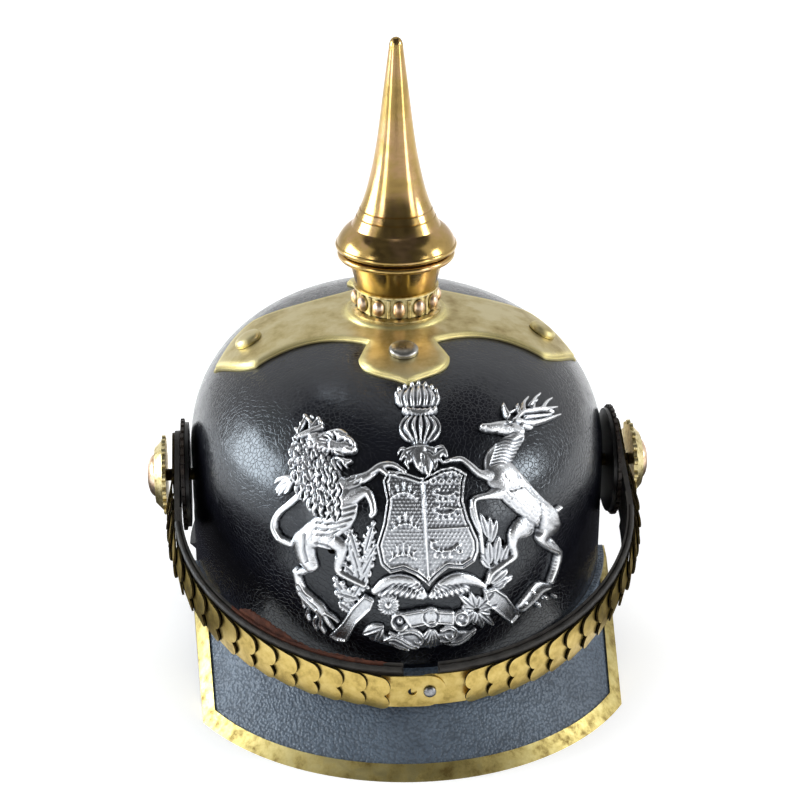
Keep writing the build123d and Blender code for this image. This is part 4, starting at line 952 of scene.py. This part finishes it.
# Crest: collar, barred helm and crown over the shield
for points in [
    [(880, 405, 16), (836, 428, 20), (806, 470, 10)], [(866, 440, 14), (838, 486, 16), (850, 520, 7)],
    [(955, 405, 16), (1000, 425, 20), (1034, 474, 10)], [(968, 440, 14), (1004, 486, 16), (1000, 526, 7)],
    [(850, 420, 10), (812, 410, 12), (790, 440, 5)], [(990, 412, 10), (1040, 398, 12), (1064, 430, 5)],
]:
    limb(L, 2.6, *points)
limb(L, 2.8, (905, 430, 50), (935, 480, 60), (965, 545, 24))
for points in [
    [(850, 440), (900, 545), (960, 580)], [(1010, 430), (1000, 520), (965, 580)], [(930, 450), (940, 570)],
]:
    crease(L, 0.9, 8, *points)
limb(L, 3.4, (930, 495, 26))
crease(L, 1.0, 7, (930, 486), (934, 500))
limb(L, 2.6, (1005, 460, 28), (1050, 425, 22), (1066, 450, 14))
limb(L, 2.4, (855, 470, 22), (835, 440, 16))
limb(L, 3.0, (918, 385, 52), (918, 410, 44))
limb(L, 3.7, (880, 290, 84), (955, 290, 84))
for step in (-104, -62, -20, 22, 64, 104):
    crease(L, 1.5, 8, (918 + step * 0.45, 212), (918 + step, 290), (918 + step * 0.4, 372))
for step in (-84, -42, 0, 42, 84):
    crease(L, -0.6, 9, (918 + step * 0.45, 215), (918 + step, 290), (918 + step * 0.4, 372))
crease(L, 1.0, 8, (850, 378), (918, 388), (985, 374))
limb(L, 3.4, (830, 190, 20), (918, 205, 24), (1000, 188, 20))
limb(L, 3.5, (815, 120, 44), (870, 110, 60), (918, 100, 62), (965, 108, 60), (1000, 122, 36))
for step in (-84, -52, -18, 18, 52, 84):
    crease(L, 1.2, 8, (910 + step * 0.9, 185), (910 + step * 1.15, 120), (908 + step * 0.8, 62))
for u, v in [(782, 105), (796, 78), (830, 62), (870, 50), (908, 44), (946, 50), (982, 66), (1008, 88),
             (1016, 120)]:
    limb(L, 3.6, (u, v, 14))
for u in range(840, 1000, 26):
    limb(L, 3.9, (u, 196 + 6 * math.cos((u - 918) / 60), 10))

# The skull's outer face: half its width, half its length, its top and where its straight wall ends
skull_half, skull_long, skull_top, skull_equator = 91.5 * mm, 112 * mm, 143 * mm, 80 * mm
crown_rise = skull_equator + 0.2 * (skull_top - skull_equator)


def bow(first, second, third, last):
    """Places along a cubic curve."""
    t = np.linspace(0, 1, 2001)
    return first * (1 - t) ** 3 + 3 * second * (1 - t) ** 2 * t + 3 * third * (1 - t) * t ** 2 + last * t ** 3


crown_reach = bow(skull_long, skull_long, skull_long, 0)
crown_height = bow(skull_equator, crown_rise, skull_top, skull_top)


def beyond_skull(spots):
    """How far each spot lies outside the skull, measured level and along its length."""
    wall = np.interp(spots[:, 2], crown_height, crown_reach, left=skull_long, right=0)
    return (np.hypot(spots[:, 0] * skull_long / skull_half, spots[:, 1]) - wall
            + np.maximum(spots[:, 2] - skull_top, 0))


def skull_spots(x, y):
    """Where the rays through pixel places meet the skull, and the way out of it there."""
    turn = np.array(camera.rotation_euler.to_matrix())
    rays = np.stack([(x - optic_column) / optic_reach, (optic_row - y) / optic_reach, -np.ones_like(x)],
                    1) @ turn.T
    eye = np.array(camera.location)
    before = np.full(len(x), 0.70)  # metres from the camera, short of the helmet
    behind = before.copy()
    outside = np.ones(len(x), bool)
    for _ in range(90):
        ahead = behind + 3 * mm
        out = beyond_skull(eye + rays * ahead[:, None]) > 0
        before = np.where(outside & out, ahead, before)
        behind = np.where(outside, ahead, behind)
        outside &= out
    for _ in range(24):
        middle = (before + behind) / 2
        out = beyond_skull(eye + rays * middle[:, None]) > 0
        before, behind = np.where(out, middle, before), np.where(out, behind, middle)
    spots = eye + rays * behind[:, None]
    tiny = 0.2 * mm
    level = beyond_skull(spots)
    slope = [(beyond_skull(spots + tiny * axis) - level) / tiny for axis in np.eye(3)]
    facing = np.stack(slope, 1)
    return spots, facing / np.linalg.norm(facing, axis=1)[:, None]


def softened(values, width):
    """Values averaged over a square of cells, down and then across."""
    for _ in range(2):
        run = np.cumsum(np.pad(values, [(width + 1, width), (0, 0)], "edge"), 0)
        values = ((run[2 * width + 1:] - run[:-2 * width - 1]) / (2 * width + 1)).T
    return values


def relief_sheet():
    """A grid shaped on the skull by the strokes, with the cells outside the metal cut away."""
    metal = relief > metal_start
    kept = metal.copy()
    kept[1:] |= metal[:-1]
    kept[:-1] |= metal[1:]
    kept[:, 1:] |= metal[:, :-1]
    kept[:, :-1] |= metal[:, 1:]
    height = np.where(metal, relief, sunk_edge).ravel() * mm
    spots, facing = skull_spots(grid_x.ravel(), grid_y.ravel())
    made = primitive("relief_plate", bpy.ops.mesh.primitive_grid_add, x_subdivisions=len(columns) - 1,
                     y_subdivisions=len(rows) - 1, size=0.12)
    made.data.vertices.foreach_set("co", (spots + facing * height[:, None]).astype(np.float32).ravel())
    # How bright the silver is: more on ridges than in hollows, and more on what stands high
    bright = np.clip(0.60 + 0.5 * (relief - softened(relief, 3)) + 0.12 * (relief - 2.0), 0, 1)
    tone = made.data.attributes.new("relief", "FLOAT", "POINT")
    tone.data.foreach_set("value", bright.ravel().astype(np.float32))
    cut_away(made, "VERT", ~kept.ravel())
    bpy.ops.object.shade_smooth()
    return made


plate = relief_sheet()
plate.data.materials.append(silvered())
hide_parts("front_plate")
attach(plate, "helmet")
